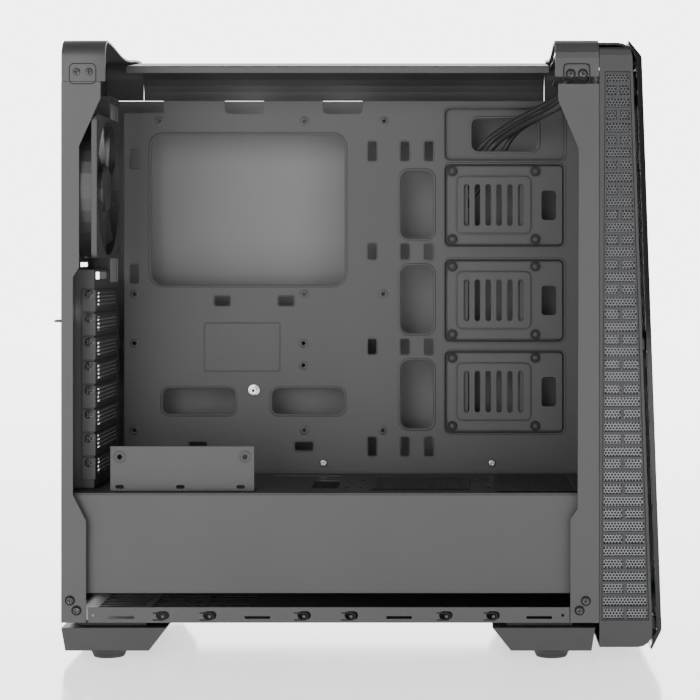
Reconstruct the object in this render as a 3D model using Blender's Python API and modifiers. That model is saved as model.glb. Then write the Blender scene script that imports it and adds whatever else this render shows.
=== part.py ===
"""A desktop computer tower with its left window off, built as separate parts.

Metres, +Z up. The front faces +X, the open left side faces -Y, and the feet stand on Z = 0.
Sheet parts are flat outlines drawn out to their thickness, then cut or joined by Booleans.
"""

import math

import bmesh
import bpy
from mathutils import Matrix, Vector

# Overall size of the case without the finger tab that stands out at its rear.
DEPTH = 0.497
WIDTH = 0.220
HEIGHT = 0.514
TAB_REACH = 0.009
GAP = 0.0003
WELD = 1e-6

# Sheet and shell thicknesses.
STEEL = 0.001
CAP_WALL = 0.002
BEZEL_WALL = 0.0022
PLATE_WALL = 0.0028
MESH = 0.0008

# The box that the case fills.
REAR = -(DEPTH + TAB_REACH) / 2 + TAB_REACH
FRONT = REAR + DEPTH
LEFT = -WIDTH / 2
RIGHT = WIDTH / 2

# Heights of the steel chassis.
BASE_Z = 0.0306
FLOOR_Z = BASE_Z + STEEL + GAP
INSIDE_Z = FLOOR_Z + STEEL + GAP
POST_TOP = HEIGHT - 0.0356
TRAY_TOP = HEIGHT - 0.0388
CAP_BOTTOM = HEIGHT - 0.0314
SHROUD_TOP = BASE_Z + 0.1062

# Planes across the depth.
BEZEL_DEPTH = 0.0515
REAR_WALL_INSET = 0.0028
CHASSIS_FRONT = FRONT - BEZEL_DEPTH - GAP
REAR_WALL = REAR + REAR_WALL_INSET
FRONT_WALL = CHASSIS_FRONT - 2 * STEEL - GAP
BAY_REAR = REAR_WALL + STEEL + GAP
BAY_FRONT = FRONT_WALL - GAP

# Planes across the width.
TRAY_BACK_SPACE = 0.0465
TRAY_Y = RIGHT - TRAY_BACK_SPACE - STEEL
RETURN_WIDTH = 0.012

# Rear wall: the recess that carries the board ports and the expansion slots.
RECESS_DEPTH = 0.0167
PORT_WIDTH = 0.04445
PORT_HEIGHT = 0.15875
PORT_TRAY_MARGIN = 0.00345
PORT_WALL_Y = TRAY_Y - PORT_TRAY_MARGIN - PORT_WIDTH - 0.0007
SLOT_COUNT = 8
SLOT_PITCH = 0.02032
SLOT_FIRST_BELOW_TOP = 0.1787
SLOT_BAR = 0.00772
SLOT_HEIGHT = SLOT_PITCH - SLOT_BAR
SLOT_FLANGE_SPAN = 0.1308
STEP_BELOW_TOP = 0.1537
COVER_CLEARANCE = 0.00192
COVER_WIDTH = SLOT_PITCH - COVER_CLEARANCE
COVER_FLANGE = 0.0114
TONGUE_LENGTH = 0.010
TONGUE_WIDTH = 0.010

# Rear fan.
FAN_SIZE = 0.120
FAN_DEPTH = 0.025
FAN_FLANGE = 0.0045
FAN_HOLE_INSET = 0.0075
FAN_HOLE_SPACING = FAN_SIZE - 2 * FAN_HOLE_INSET
FAN_HOLE_R = 0.00215
FAN_BORE_WALL = 0.0027
FAN_DUCT_INSET = 0.0006
FAN_BORE_R = FAN_SIZE / 2 - FAN_BORE_WALL
FAN_DUCT_R = FAN_SIZE / 2 - FAN_DUCT_INSET
FAN_HUB_R = 0.0205
FAN_BLADES = 9
BLADE_TIP_GAP = 0.0015
FAN_Y = PORT_WALL_Y - STEEL - GAP - FAN_SIZE / 2
FAN_Z = TRAY_TOP - 0.023 - FAN_SIZE / 2
FAN_REAR = BAY_REAR

# Front bezel and glossy plate, seen from the side: the front slants forward to its foot.
BEZEL_TOP_DROP = 0.0025
BEZEL_BOTTOM = 0.0105
BEZEL_TOP_INSET = 0.0246
BEZEL_FOOT_INSET = 0.0072
PLATE_TOP_INSET = 0.0165
PLATE_STAND_OFF = 0.0033
PLATE_RETURN = 0.0045
GRILLE_ROWS = 44
GRILLE_PITCH = 0.01032
GRILLE_SLOT = 0.0078
GRILLE_TOP_DROP = 0.0323
GRILLE_BRIDGE = 0.0026
GRILLE_WALL = 0.0018

# Feet.
FOOT_TOP = 0.0265
FOOT_BOTTOM = 0.0075
PAD_R_TOP = 0.0165
PAD_R_FLOOR = 0.0128
PAD_EDGE_MARGIN = 0.002

# Front ports in the top of the front cap.
IO_LENGTH = 0.124
IO_WIDTH = 0.028
IO_WALL = 0.0025
IO_DROP = 0.0070
IO_BOARD_DROP = 0.0240
POWER_R = 0.008
RESET_R = 0.0035
BUTTON_CLEARANCE = 0.0004

# Drive trays in the recesses of the board tray.
DRIVE_RECESS = 0.0045
DRIVE_TOPS = (0.0575, 0.1440, 0.2271)
DRIVE_HEIGHT = 0.0743
DRIVE_LENGTH = 0.1081
DRIVE_FRONT = 0.0721
DRIVE_HOLES = (0.0753, 0.0618)

ROUND = 20


def rear(distance):
    """x of a place measured forward from the rear."""
    return REAR + distance


def front(distance):
    """x of a place measured back from the front."""
    return FRONT - distance


def below(distance):
    """z of a place measured down from the board tray's top edge."""
    return TRAY_TOP - distance


# Outlines ------------------------------------------------------------------------------


def box_loop(low_u, low_v, high_u, high_v):
    return [(low_u, low_v), (high_u, low_v), (high_u, high_v), (low_u, high_v)]


def circle_loop(u, v, radius, sides=ROUND, turn=0.0):
    angles = [turn + 2 * math.pi * i / sides for i in range(sides)]
    return [(u + radius * math.cos(a), v + radius * math.sin(a)) for a in angles]


def filleted(points, radius, steps=4):
    """The closed outline with each corner rounded by an arc of the radius, limited by its sides."""
    loop = []
    for i, corner in enumerate(points):
        here = Vector(corner)
        before = Vector(points[i - 1]) - here
        after = Vector(points[(i + 1) % len(points)]) - here
        half = before.angle(after) / 2
        reach = min(radius / math.tan(half), 0.49 * before.length, 0.49 * after.length)
        arc_radius = reach * math.tan(half)
        start = here + before.normalized() * reach
        stop = here + after.normalized() * reach
        middle = (before.normalized() + after.normalized()).normalized()
        centre = here + middle * (arc_radius / math.sin(half))
        first, last = start - centre, stop - centre
        sweep = first.angle_signed(last)
        for k in range(steps + 1):
            turned = Matrix.Rotation(-sweep * k / steps, 2) @ first
            loop.append(tuple(centre + turned))
    return loop


def rounded(low_u, low_v, high_u, high_v, radius, steps=4):
    return filleted(box_loop(low_u, low_v, high_u, high_v), radius, steps)


def shifted(path, distance):
    """The open path moved sideways, to the left of its direction, with mitred corners."""
    moved = []
    for i, point in enumerate(path):
        here = Vector(point)
        into = (here - Vector(path[max(i - 1, 0)])) if i else None
        out = (Vector(path[i + 1]) - here) if i + 1 < len(path) else None
        into = (into or out).normalized()
        out = (out or into).normalized()
        side = Vector((-into.y - out.y, into.x + out.x)).normalized()
        scale = distance / max(side.dot(Vector((-into.y, into.x))), 0.3)
        moved.append(tuple(here + side * scale))
    return moved


def ribbon(path, thickness):
    """A strip of sheet along the open path, with its thickness to the left of it."""
    return list(path) + shifted(path, thickness)[::-1]


def arc(u, v, radius, start, stop, steps):
    angles = [math.radians(start + (stop - start) * i / steps) for i in range(steps + 1)]
    return [(u + radius * math.cos(a), v + radius * math.sin(a)) for a in angles]


# Objects -------------------------------------------------------------------------------

PLACES = {
    "XY": lambda u, v, w: (u, v, w),
    "XZ": lambda u, v, w: (u, w, v),
    "YZ": lambda u, v, w: (w, u, v),
}


def clear_scene():
    for obj in list(bpy.data.objects):
        bpy.data.objects.remove(obj, do_unlink=True)


def collection_named(name, hidden=False):
    made = bpy.data.collections.new(name)
    made.hide_render = hidden
    bpy.context.scene.collection.children.link(made)
    return made


def islands(bm):
    """The faces of each separate body in the bmesh."""
    left = set(bm.faces)
    while left:
        found = [left.pop()]
        for face in found:
            near = {other for edge in face.edges for other in edge.link_faces} & left
            left -= near
            found += near
        yield found


def volume_of(faces):
    """The signed volume inside the faces: negative when they are turned inwards."""
    total = 0.0
    for face in faces:
        first, *others = [vert.co for vert in face.verts]
        total += sum(first.dot(a.cross(b)) for a, b in zip(others, others[1:])) / 6
    return total


def object_of(name, bm, helper=False):
    """An object from the bmesh, with its faces turned outwards, in the parts or the cutters."""
    bmesh.ops.recalc_face_normals(bm, faces=bm.faces)
    for faces in islands(bm):
        if volume_of(faces) < 0:
            bmesh.ops.reverse_faces(bm, faces=faces)
    mesh = bpy.data.meshes.new(name)
    bm.to_mesh(mesh)
    bm.free()
    obj = bpy.data.objects.new(name, mesh)
    if helper:
        CUTTERS.objects.link(obj)
        obj.hide_render = True
        obj.display_type = "WIRE"
    else:
        PARTS.objects.link(obj)
    return obj


def prism(bm, plane, loop, low, high):
    """Adds the outline drawn out from low to high across its plane."""
    place = PLACES[plane]
    ends = [[bm.verts.new(place(u, v, w)) for u, v in loop] for w in (low, high)]
    bm.faces.new(ends[0])
    bm.faces.new(ends[1])
    for i in range(len(loop)):
        bm.faces.new((ends[0][i - 1], ends[0][i], ends[1][i], ends[1][i - 1]))


def prisms(name, plane, loops, low, high):
    """A helper of separate outlines, drawn out across their plane."""
    bm = bmesh.new()
    for loop in loops:
        prism(bm, plane, loop, low, high)
    return object_of(name, bm, True)


def sheet(name, plane, loops, low, high, helper=False):
    """A flat part: the first outline drawn out to its thickness, with the others cut through it."""
    bm = bmesh.new()
    prism(bm, plane, loops[0], low, high)
    obj = object_of(name, bm, helper)
    if loops[1:]:
        cut(obj, prisms(f"{name}_cuts", plane, loops[1:], low - STEEL, high + STEEL))
    return obj


def block(name, low, high, helper=False):
    bm = bmesh.new()
    size = Vector(high) - Vector(low)
    centre = (Vector(high) + Vector(low)) / 2
    matrix = Matrix.Translation(centre) @ Matrix.Diagonal((*size, 1))
    bmesh.ops.create_cube(bm, size=1, matrix=matrix)
    return object_of(name, bm, helper)


TURNS = {
    "X": Matrix.Rotation(math.pi / 2, 4, "Y"),
    "Y": Matrix.Rotation(-math.pi / 2, 4, "X"),
    "Z": Matrix.Identity(4),
}


def rod(name, axis, centre, radius, length, end_radius=None, sides=ROUND, helper=False):
    """A cylinder or cone along the axis, centred, its first end at the low side."""
    bm = bmesh.new()
    second = radius if end_radius is None else end_radius
    matrix = Matrix.Translation(Vector(centre)) @ TURNS[axis]
    bmesh.ops.create_cone(
        bm,
        cap_ends=True,
        segments=sides,
        radius1=radius,
        radius2=second,
        depth=length,
        matrix=matrix,
    )
    return object_of(name, bm, helper)


def boolean(obj, other, operation):
    modifier = obj.modifiers.new(operation.lower(), "BOOLEAN")
    modifier.operation = operation
    modifier.solver = "EXACT"
    modifier.object = other
    return obj


def cut(obj, *cutters):
    for cutter in cutters:
        boolean(obj, cutter, "DIFFERENCE")
    return obj


def join(obj, *pieces):
    for piece in pieces:
        boolean(obj, piece, "UNION")
    return obj


def baked(obj):
    """Applies the modifiers, so that copies can share the mesh."""
    graph = bpy.context.evaluated_depsgraph_get()
    mesh = bpy.data.meshes.new_from_object(obj.evaluated_get(graph))
    obj.modifiers.clear()
    obj.data = mesh
    return obj


def bevelled(obj, width, segments=2, angle=30):
    modifier = obj.modifiers.new("edges", "BEVEL")
    modifier.width = width
    modifier.segments = segments
    modifier.limit_method = "ANGLE"
    modifier.angle_limit = math.radians(angle)
    return obj


def copy_of(obj, name, offset):
    """Another object with the same mesh, moved by the offset."""
    twin = bpy.data.objects.new(name, obj.data)
    twin.location = obj.location + Vector(offset)
    PARTS.objects.link(twin)
    return twin


def pivoted(obj, point):
    """Puts the object's origin on its joint's axis without moving its mesh in the scene."""
    obj.data.transform(Matrix.Translation(-Vector(point)))
    obj.location = point
    return obj


def smooth(obj, angle=40):
    for polygon in obj.data.polygons:
        polygon.use_smooth = True
    obj.data.set_sharp_from_angle(angle=math.radians(angle))
    return obj


# Finishes ------------------------------------------------------------------------------

FINISHES = {
    "black_steel": ((0.035, 0.035, 0.037), 0.45, 0.6),
    "matte_plastic": ((0.022, 0.022, 0.023), 0.6, 0.0),
    "gloss_plastic": ((0.006, 0.006, 0.007), 0.06, 0.0),
    "mesh_steel": ((0.05, 0.05, 0.052), 0.4, 0.8),
    "rubber": ((0.02, 0.02, 0.02), 0.85, 0.0),
    "zinc": ((0.45, 0.45, 0.46), 0.3, 1.0),
    "socket_plastic": ((0.01, 0.012, 0.016), 0.4, 0.0),
    "board": ((0.01, 0.05, 0.02), 0.5, 0.0),
    "cable": ((0.012, 0.012, 0.013), 0.55, 0.0),
}


def paint(finish, *objects):
    material = bpy.data.materials.get(finish)
    if material is None:
        colour, roughness, metallic = FINISHES[finish]
        material = bpy.data.materials.new(finish)
        material.use_nodes = True
        shader = material.node_tree.nodes["Principled BSDF"]
        shader.inputs["Base Color"].default_value = (*colour, 1)
        shader.inputs["Roughness"].default_value = roughness
        shader.inputs["Metallic"].default_value = metallic
    for obj in objects:
        obj.data.materials.clear()
        obj.data.materials.append(material)


# Board tray ----------------------------------------------------------------------------

TRAY_REAR = rear(0.0254)
STANDOFF_HOLES = (
    (0.0571, 0.0182), (0.1893, 0.0182), (0.2614, 0.0182),
    (0.0347, 0.1752), (0.1888, 0.1752), (0.2607, 0.1752),
    (0.0347, 0.2201), (0.1882, 0.2201), (0.1882, 0.2400),
    (0.0347, 0.2991), (0.1890, 0.2991), (0.2604, 0.2991),
)
TIE_COLUMNS = (0.2469, 0.2767, 0.2984)
TIE_ROWS = ((0.0371, 0.0169), (0.1299, 0.0136), (0.2164, 0.0135), (0.3055, 0.0167))
TIE_WIDTH = 0.0074
TALL_CUTS = (0.0636, 0.1498, 0.2361)
TALL_SIZE = (0.0292, 0.0610)
TALL_X = 0.2767
CPU_CUT = (0.0501, 0.0310, 0.1755, 0.1358)
LOW_CUTS = (0.0606, 0.1598)
LOW_SIZE = (0.0649, 0.0223)
LOW_TOP = 0.2617
TOP_RECESS = (0.0716, 0.0068, 0.1086, 0.0468)
TOP_CUT = (0.0957, 0.0158, 0.0596, 0.0290)
CENTRE_STANDOFF = (0.1432, 0.2627)
BAY_POST = (0.2300, 0.2460)


def drop_box(x, down, length, height):
    """The corners of a box whose rear upper corner is at x, down from the tray's top edge."""
    return x, below(down + height), x + length, below(down)


def tray_outline():
    """The tray's edge: open below the shroud at the rear, with a lowered corner at the top."""
    edge = [
        (TRAY_REAR, SHROUD_TOP - 0.006),
        (rear(BAY_POST[0]), SHROUD_TOP - 0.006),
        (rear(BAY_POST[0]), INSIDE_Z),
        (BAY_FRONT, INSIDE_Z),
        (BAY_FRONT, TRAY_TOP),
    ]
    edge += [(rear(0.0612), TRAY_TOP), (rear(0.0612), below(0.0109)), (TRAY_REAR, below(0.0109))]
    return edge


def tray_holes():
    holes = [
        rounded(*drop_box(rear(CPU_CUT[0]), *CPU_CUT[1:]), 0.011, 5),
        rounded(*drop_box(rear(0.0308), 0.0449, 0.0076, 0.0163), 0.001, 1),
        rounded(*drop_box(rear(0.0308), 0.1487, 0.0076, 0.0166), 0.001, 1),
        rounded(*drop_box(rear(0.1807), 0.3099, 0.0160, 0.0075), 0.001, 1),
        rounded(*drop_box(rear(0.0844), 0.3099, 0.0160, 0.0075), 0.001, 1),
    ]
    for start, stop in ((0.1168, 0.1520), (0.2058, 0.2419)):
        holes.append(rounded(rear(start), below(0.0116), rear(stop), TRAY_TOP + 0.006, 0.0045, 3))
    for x in (0.1075, 0.1656):
        holes.append(rounded(*drop_box(rear(x), 0.1774, 0.0137, 0.0083), 0.002, 2))
    for x in LOW_CUTS:
        holes.append(rounded(*drop_box(rear(x), LOW_TOP, *LOW_SIZE), 0.0055, 3))
    for down in TALL_CUTS:
        holes.append(rounded(*drop_box(rear(TALL_X), down, *TALL_SIZE), 0.007, 3))
    for x in TIE_COLUMNS:
        for down, height in TIE_ROWS:
            holes.append(box_loop(*drop_box(rear(x), down, TIE_WIDTH, height)))
    for x, down in STANDOFF_HOLES:
        holes.append(circle_loop(rear(x), below(down), 0.0018, 6))
    for x in (0.2064, 0.3595):
        holes.append(circle_loop(rear(x), below(0.3290), 0.0022, 8))
    holes.append(rounded(rear(BAY_POST[1]), INSIDE_Z + 0.005, BAY_FRONT - 0.012, SHROUD_TOP - 0.008, 0.006, 2))
    return holes


def recess_boxes():
    """The four pressed recesses at the tray's front: low and high corners in X and Z."""
    boxes = [drop_box(front(DRIVE_LENGTH + DRIVE_FRONT), *TOP_RECESS[1:2], TOP_RECESS[2], TOP_RECESS[3])]
    for down in DRIVE_TOPS:
        boxes.append(drop_box(front(DRIVE_LENGTH + DRIVE_FRONT), down, DRIVE_LENGTH, DRIVE_HEIGHT))
    return boxes


def make_tray():
    tray = sheet("motherboard_tray", "XZ", [tray_outline()] + tray_holes(), TRAY_Y, TRAY_Y + STEEL)
    boxes = recess_boxes()
    outer = [rounded(x0 - STEEL, z0 - STEEL, x1 + STEEL, z1 + STEEL, 0.0055, 3) for x0, z0, x1, z1 in boxes]
    inner = [rounded(x0, z0, x1, z1, 0.0045, 3) for x0, z0, x1, z1 in boxes]
    back = TRAY_Y + DRIVE_RECESS + STEEL
    join(tray, prisms("recess_backs", "XZ", outer, TRAY_Y + STEEL / 2, back))
    cut(tray, prisms("recess_pockets", "XZ", inner, TRAY_Y - STEEL, TRAY_Y + DRIVE_RECESS))
    windows = []
    for i, (x0, z0, x1, z1) in enumerate(boxes):
        if i == 0:
            cut_x = x0 + TOP_CUT[0] - TOP_RECESS[0]
            windows.append(rounded(*drop_box(cut_x, *TOP_CUT[1:]), 0.006))
        else:
            windows.append(rounded(x0 + 0.021, z0 + 0.013, x0 + 0.068, z1 - 0.013, 0.005, 3))
            windows.append(rounded(x0 + 0.086, z0 + 0.022, x0 + 0.103, z1 - 0.022, 0.003, 2))
    cut(tray, prisms("recess_windows", "XZ", windows, TRAY_Y + STEEL * 2, back + STEEL))
    standoff = sheet(
        "centre_standoff",
        "XZ",
        [
            circle_loop(rear(CENTRE_STANDOFF[0]), below(CENTRE_STANDOFF[1]), 0.0034, 6),
            circle_loop(rear(CENTRE_STANDOFF[0]), below(CENTRE_STANDOFF[1]), 0.0014, 6),
        ],
        TRAY_Y - GAP - 0.0065,
        TRAY_Y - GAP,
    )
    paint("black_steel", tray)
    paint("zinc", standoff)


# Drive trays ---------------------------------------------------------------------------


def make_drive_trays():
    """A pressed plate with a raised ribbed pad, four drive bosses and a finger hole."""
    margin = 0.0012
    plate_y = TRAY_Y + DRIVE_RECESS - 0.0026
    x0, z0, x1, z1 = recess_boxes()[1]
    plate = sheet(
        "drive_tray_1",
        "XZ",
        [rounded(x0 + margin, z0 + margin, x1 - margin, z1 - margin, 0.004)],
        plate_y,
        plate_y + STEEL,
    )
    pad_x, pad_z, pad_length, pad_height = x0 + 0.0109, z0 + 0.0117, 0.0666, 0.0513
    pad = rounded(pad_x, pad_z, pad_x + pad_length, pad_z + pad_height, 0.005)
    raise_y = plate_y - 0.0014
    join(plate, prisms("drive_pads", "XZ", [pad], raise_y, plate_y + STEEL / 2))
    middle_x, middle_z = x0 + 0.0066 + DRIVE_HOLES[0] / 2, (z0 + z1) / 2
    places = [
        (middle_x + sx * DRIVE_HOLES[0] / 2, middle_z + sz * DRIVE_HOLES[1] / 2)
        for sx in (-1, 1)
        for sz in (-1, 1)
    ]
    bosses = [circle_loop(x, z, 0.0044, 10) for x, z in places]
    join(plate, prisms("drive_bosses", "XZ", bosses, raise_y - 0.0008, plate_y + STEEL / 2))
    legs = [circle_loop(x, z, 0.0032, 6) for x, z in places]
    rest_y = TRAY_Y + DRIVE_RECESS - GAP
    join(plate, prisms("drive_legs", "XZ", legs, plate_y + STEEL / 2, rest_y))
    holes = [circle_loop(x, z, 0.0016, 6) for x, z in places]
    pitch, slot = 0.00984, 0.0049
    for i in range(6):
        centre = pad_x + pad_length / 2 + (i - 2.5) * pitch
        low, high = pad_z + 0.0068, pad_z + pad_height - 0.0068
        holes.append(rounded(centre - slot / 2, low, centre + slot / 2, high, 0.0016, 1))
    holes.append(rounded(x0 + 0.0879, middle_z - 0.0133, x0 + 0.1011, middle_z + 0.0133, 0.002, 1))
    cut(plate, prisms("drive_holes", "XZ", holes, raise_y - 0.002, plate_y + 0.01))
    baked(plate)
    trays = [plate]
    for i, down in enumerate(DRIVE_TOPS[1:], 2):
        trays.append(copy_of(plate, f"drive_tray_{i}", (0, 0, DRIVE_TOPS[0] - down)))
    paint("black_steel", *trays)


# Rear panel ----------------------------------------------------------------------------

RECESS_Y = TRAY_Y - SLOT_FLANGE_SPAN
RECESS_END = TRAY_Y - 0.0006
STEP_Z = below(STEP_BELOW_TOP)
SLOT_WALL = REAR_WALL + RECESS_DEPTH
SLOT_Z = [below(SLOT_FIRST_BELOW_TOP + SLOT_PITCH * i) for i in range(SLOT_COUNT)]
DOOR_Y = (LEFT + RETURN_WIDTH + GAP, RECESS_Y + 0.006)
DOOR_Z = (SLOT_Z[-1] - 0.008, STEP_Z - 0.001)
DOOR_TAB_Z = below(0.1955)
PANEL_SCREW_Y = RIGHT - 0.0072
PANEL_SCREW_Z = (BASE_Z + 0.064, POST_TOP - 0.038)
SCREW_R = 0.002


def recess_loop(grow):
    """The L-shaped outline of the stepped recess, grown by the given amount."""
    low_y, high_y = RECESS_Y - grow, RECESS_END + grow
    low_z, high_z = SHROUD_TOP + 0.0016 - grow, below(0.0002) + grow
    port_y, step_z = PORT_WALL_Y - grow, STEP_Z + grow
    return [
        (low_y, low_z), (high_y, low_z), (high_y, high_z),
        (port_y, high_z), (port_y, step_z), (low_y, step_z),
    ]


def make_rear_panel():
    fan_foot = FAN_Z - FAN_SIZE / 2
    wall = [
        box_loop(LEFT + STEEL + GAP, INSIDE_Z, RIGHT - STEEL - GAP, POST_TOP),
        circle_loop(FAN_Y, FAN_Z, FAN_BORE_R, 40),
        rounded(-0.092, INSIDE_Z + 0.007, 0.050, INSIDE_Z + 0.087, 0.004, 2),
        box_loop(FAN_Y + 0.008, fan_foot - 0.0072, FAN_Y + 0.047, fan_foot - 0.0035),
    ]
    spacing = FAN_HOLE_SPACING / 2
    for sy in (-1, 1):
        for sz in (-1, 1):
            wall.append(circle_loop(FAN_Y + sy * spacing, FAN_Z + sz * spacing, FAN_HOLE_R, 8))
    for z in PANEL_SCREW_Z:
        wall.append(circle_loop(PANEL_SCREW_Y, z, SCREW_R + GAP, 10))
    wall.append(box_loop(DOOR_Y[0] + 0.003, DOOR_Z[0] + 0.004, RECESS_Y - 0.003, DOOR_Z[1] - 0.004))
    panel = sheet("rear_panel", "YZ", wall, REAR_WALL, REAR_WALL + STEEL)
    recess = prisms("recess_shell", "YZ", [recess_loop(STEEL)], REAR_WALL + STEEL / 2, SLOT_WALL + STEEL)
    pocket = prisms("recess_space", "YZ", [recess_loop(0)], REAR - STEEL, SLOT_WALL)
    openings = [box_loop(RECESS_Y + 0.0045, z - SLOT_HEIGHT / 2, TRAY_Y - 0.0125, z + SLOT_HEIGHT / 2) for z in SLOT_Z]
    port_high = below(0.0054)
    openings.append(
        box_loop(
            TRAY_Y - PORT_TRAY_MARGIN - PORT_WIDTH,
            port_high - PORT_HEIGHT,
            TRAY_Y - PORT_TRAY_MARGIN,
            port_high,
        )
    )
    openings.append(box_loop(RECESS_Y + 0.0083, STEP_Z - 0.0071, PORT_WALL_Y - 0.018, STEP_Z - 0.001))
    face = prisms("slot_openings", "YZ", openings, SLOT_WALL - STEEL, SLOT_WALL + 2 * STEEL)
    cut(join(panel, recess), pocket, face)
    paint("black_steel", panel)


def make_slot_covers():
    """Cover strips, each with a screw flange bent to the rear and a tongue at its far end."""
    plate_x = SLOT_WALL + STEEL + GAP
    flange_y = RECESS_Y - STEEL - GAP
    end_y = TRAY_Y - 0.0025
    profile = [
        (plate_x + STEEL, flange_y - STEEL),
        (plate_x + STEEL, end_y),
        (plate_x, end_y),
        (plate_x, flange_y),
        (plate_x + STEEL - COVER_FLANGE, flange_y),
        (plate_x + STEEL - COVER_FLANGE, flange_y - STEEL),
    ]
    half = COVER_WIDTH / 2
    z = SLOT_Z[0]
    cover = sheet("slot_cover_1", "XY", [profile], z - half, z + half)
    corners = [
        box_loop(end_y - TONGUE_LENGTH, z + TONGUE_WIDTH / 2, end_y + STEEL, z + half + STEEL),
        box_loop(end_y - TONGUE_LENGTH, z - half - STEEL, end_y + STEEL, z - TONGUE_WIDTH / 2),
    ]
    cut(cover, prisms("tongue_corners", "YZ", corners, plate_x - STEEL, plate_x + 2 * STEEL))
    notch = rod("cover_notch", "Y", (plate_x - 0.004, flange_y, z + 0.0052), 0.0019, 0.01, sides=10, helper=True)
    baked(cut(cover, notch))
    covers = [cover]
    for i in range(1, SLOT_COUNT):
        covers.append(copy_of(cover, f"slot_cover_{i + 1}", (0, 0, -SLOT_PITCH * i)))
    paint("black_steel", *covers)


def make_slot_door():
    """The plate that closes the slot side of the rear wall, with a lanced finger tab."""
    outer_x = REAR_WALL - GAP - STEEL
    tab_y = (DOOR_Y[0] + 0.006, RECESS_Y - 0.005)
    window = box_loop(tab_y[0] - 0.0005, DOOR_TAB_Z + 0.002, tab_y[1] + 0.0005, DOOR_TAB_Z + 0.014)
    door = sheet("slot_door", "YZ", [box_loop(DOOR_Y[0], DOOR_Z[0], DOOR_Y[1], DOOR_Z[1]), window], outer_x, outer_x + STEEL)
    tab = block(
        "door_tab",
        (REAR - TAB_REACH, tab_y[0], DOOR_TAB_Z - 0.001),
        (outer_x + STEEL / 2, tab_y[1], DOOR_TAB_Z + 0.001),
        True,
    )
    pivoted(join(door, tab), (outer_x, DOOR_Y[0], 0))
    paint("black_steel", door)


# Side posts, rail, floor and front wall ------------------------------------------------


def make_rear_post():
    inner, outer = REAR_WALL - GAP, LEFT + STEEL
    width = 0.0326
    profile = [
        (REAR, LEFT), (rear(width), LEFT), (rear(width), outer), (inner, outer),
        (inner, LEFT + RETURN_WIDTH), (inner - STEEL, LEFT + RETURN_WIDTH),
        (inner - STEEL, outer), (REAR, outer),
    ]
    post = sheet("rear_post", "XY", [profile], BASE_Z, POST_TOP)
    away = rear(width) + STEEL
    shape = [
        (away, BASE_Z - STEEL), (rear(0.0207), BASE_Z - STEEL), (rear(0.0207), SHROUD_TOP - 0.0218),
        (rear(0.0098), SHROUD_TOP - 0.0003), (rear(0.0098), STEP_Z - 0.0048),
        (rear(0.0149), STEP_Z + 0.0031), (rear(0.0149), below(0.0501)),
        (rear(width), below(0.0104)), (away, below(0.0104)),
    ]
    cut(post, prisms("rear_post_side", "XZ", [shape], LEFT - STEEL, outer + 0.0004))
    paint("black_steel", post)


def make_front_post():
    flange, outer = CHASSIS_FRONT - STEEL, LEFT + STEEL
    start = front(0.0856)
    profile = [
        (start, LEFT), (CHASSIS_FRONT, LEFT), (CHASSIS_FRONT, LEFT + RETURN_WIDTH),
        (flange, LEFT + RETURN_WIDTH), (flange, outer), (start, outer),
    ]
    post = sheet("front_post", "XY", [profile], BASE_Z, POST_TOP - 0.0017)
    away = start - STEEL
    shape = [
        (away, BASE_Z - STEEL), (front(0.0756), BASE_Z - STEEL), (front(0.0756), SHROUD_TOP - 0.0205),
        (front(0.0696), SHROUD_TOP - 0.0119), (front(0.0685), below(0.0526)),
        (start, below(0.0121)), (away, below(0.0121)),
    ]
    cut(post, prisms("front_post_side", "XZ", [shape], LEFT - STEEL, outer + 0.0004))
    paint("black_steel", post)


def make_bottom_rail():
    low_x, high_x = rear(0.0222), front(0.0762)
    profile = [
        (LEFT, BASE_Z), (LEFT + 0.010, BASE_Z), (LEFT + 0.010, BASE_Z + STEEL),
        (LEFT + STEEL, BASE_Z + STEEL), (LEFT + STEEL, BASE_Z + 0.0129), (LEFT, BASE_Z + 0.0129),
    ]
    rail = sheet("bottom_rail", "YZ", [profile], low_x, high_x)
    span = high_x - low_x
    middle = BASE_Z + 0.0062
    holes = [circle_loop(low_x + 0.0038, middle, 0.0012, 8), circle_loop(high_x - 0.0057, middle, 0.0012, 8)]
    for share in (0.070, 0.352, 0.646, 0.937):
        x = low_x + span * share
        holes.append(box_loop(x - 0.0105, middle - 0.0029, x + 0.0105, middle - 0.0007))
    for share in (0.155, 0.253, 0.449, 0.547, 0.743, 0.841):
        x = low_x + span * share
        holes.append(rounded(x - 0.0056, middle - 0.0034, x + 0.0056, middle + 0.0034, 0.003, 2))
    cut(rail, prisms("rail_holes", "XZ", holes, LEFT - STEEL, LEFT + 2 * STEEL))
    paint("black_steel", rail)


FILTER_X = (REAR_WALL + 0.0002, rear(0.172))
FILTER_Y = 0.072
FILTER_LOW = FOOT_TOP + 0.0014
FILTER_HIGH = FILTER_LOW + 0.003


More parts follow.
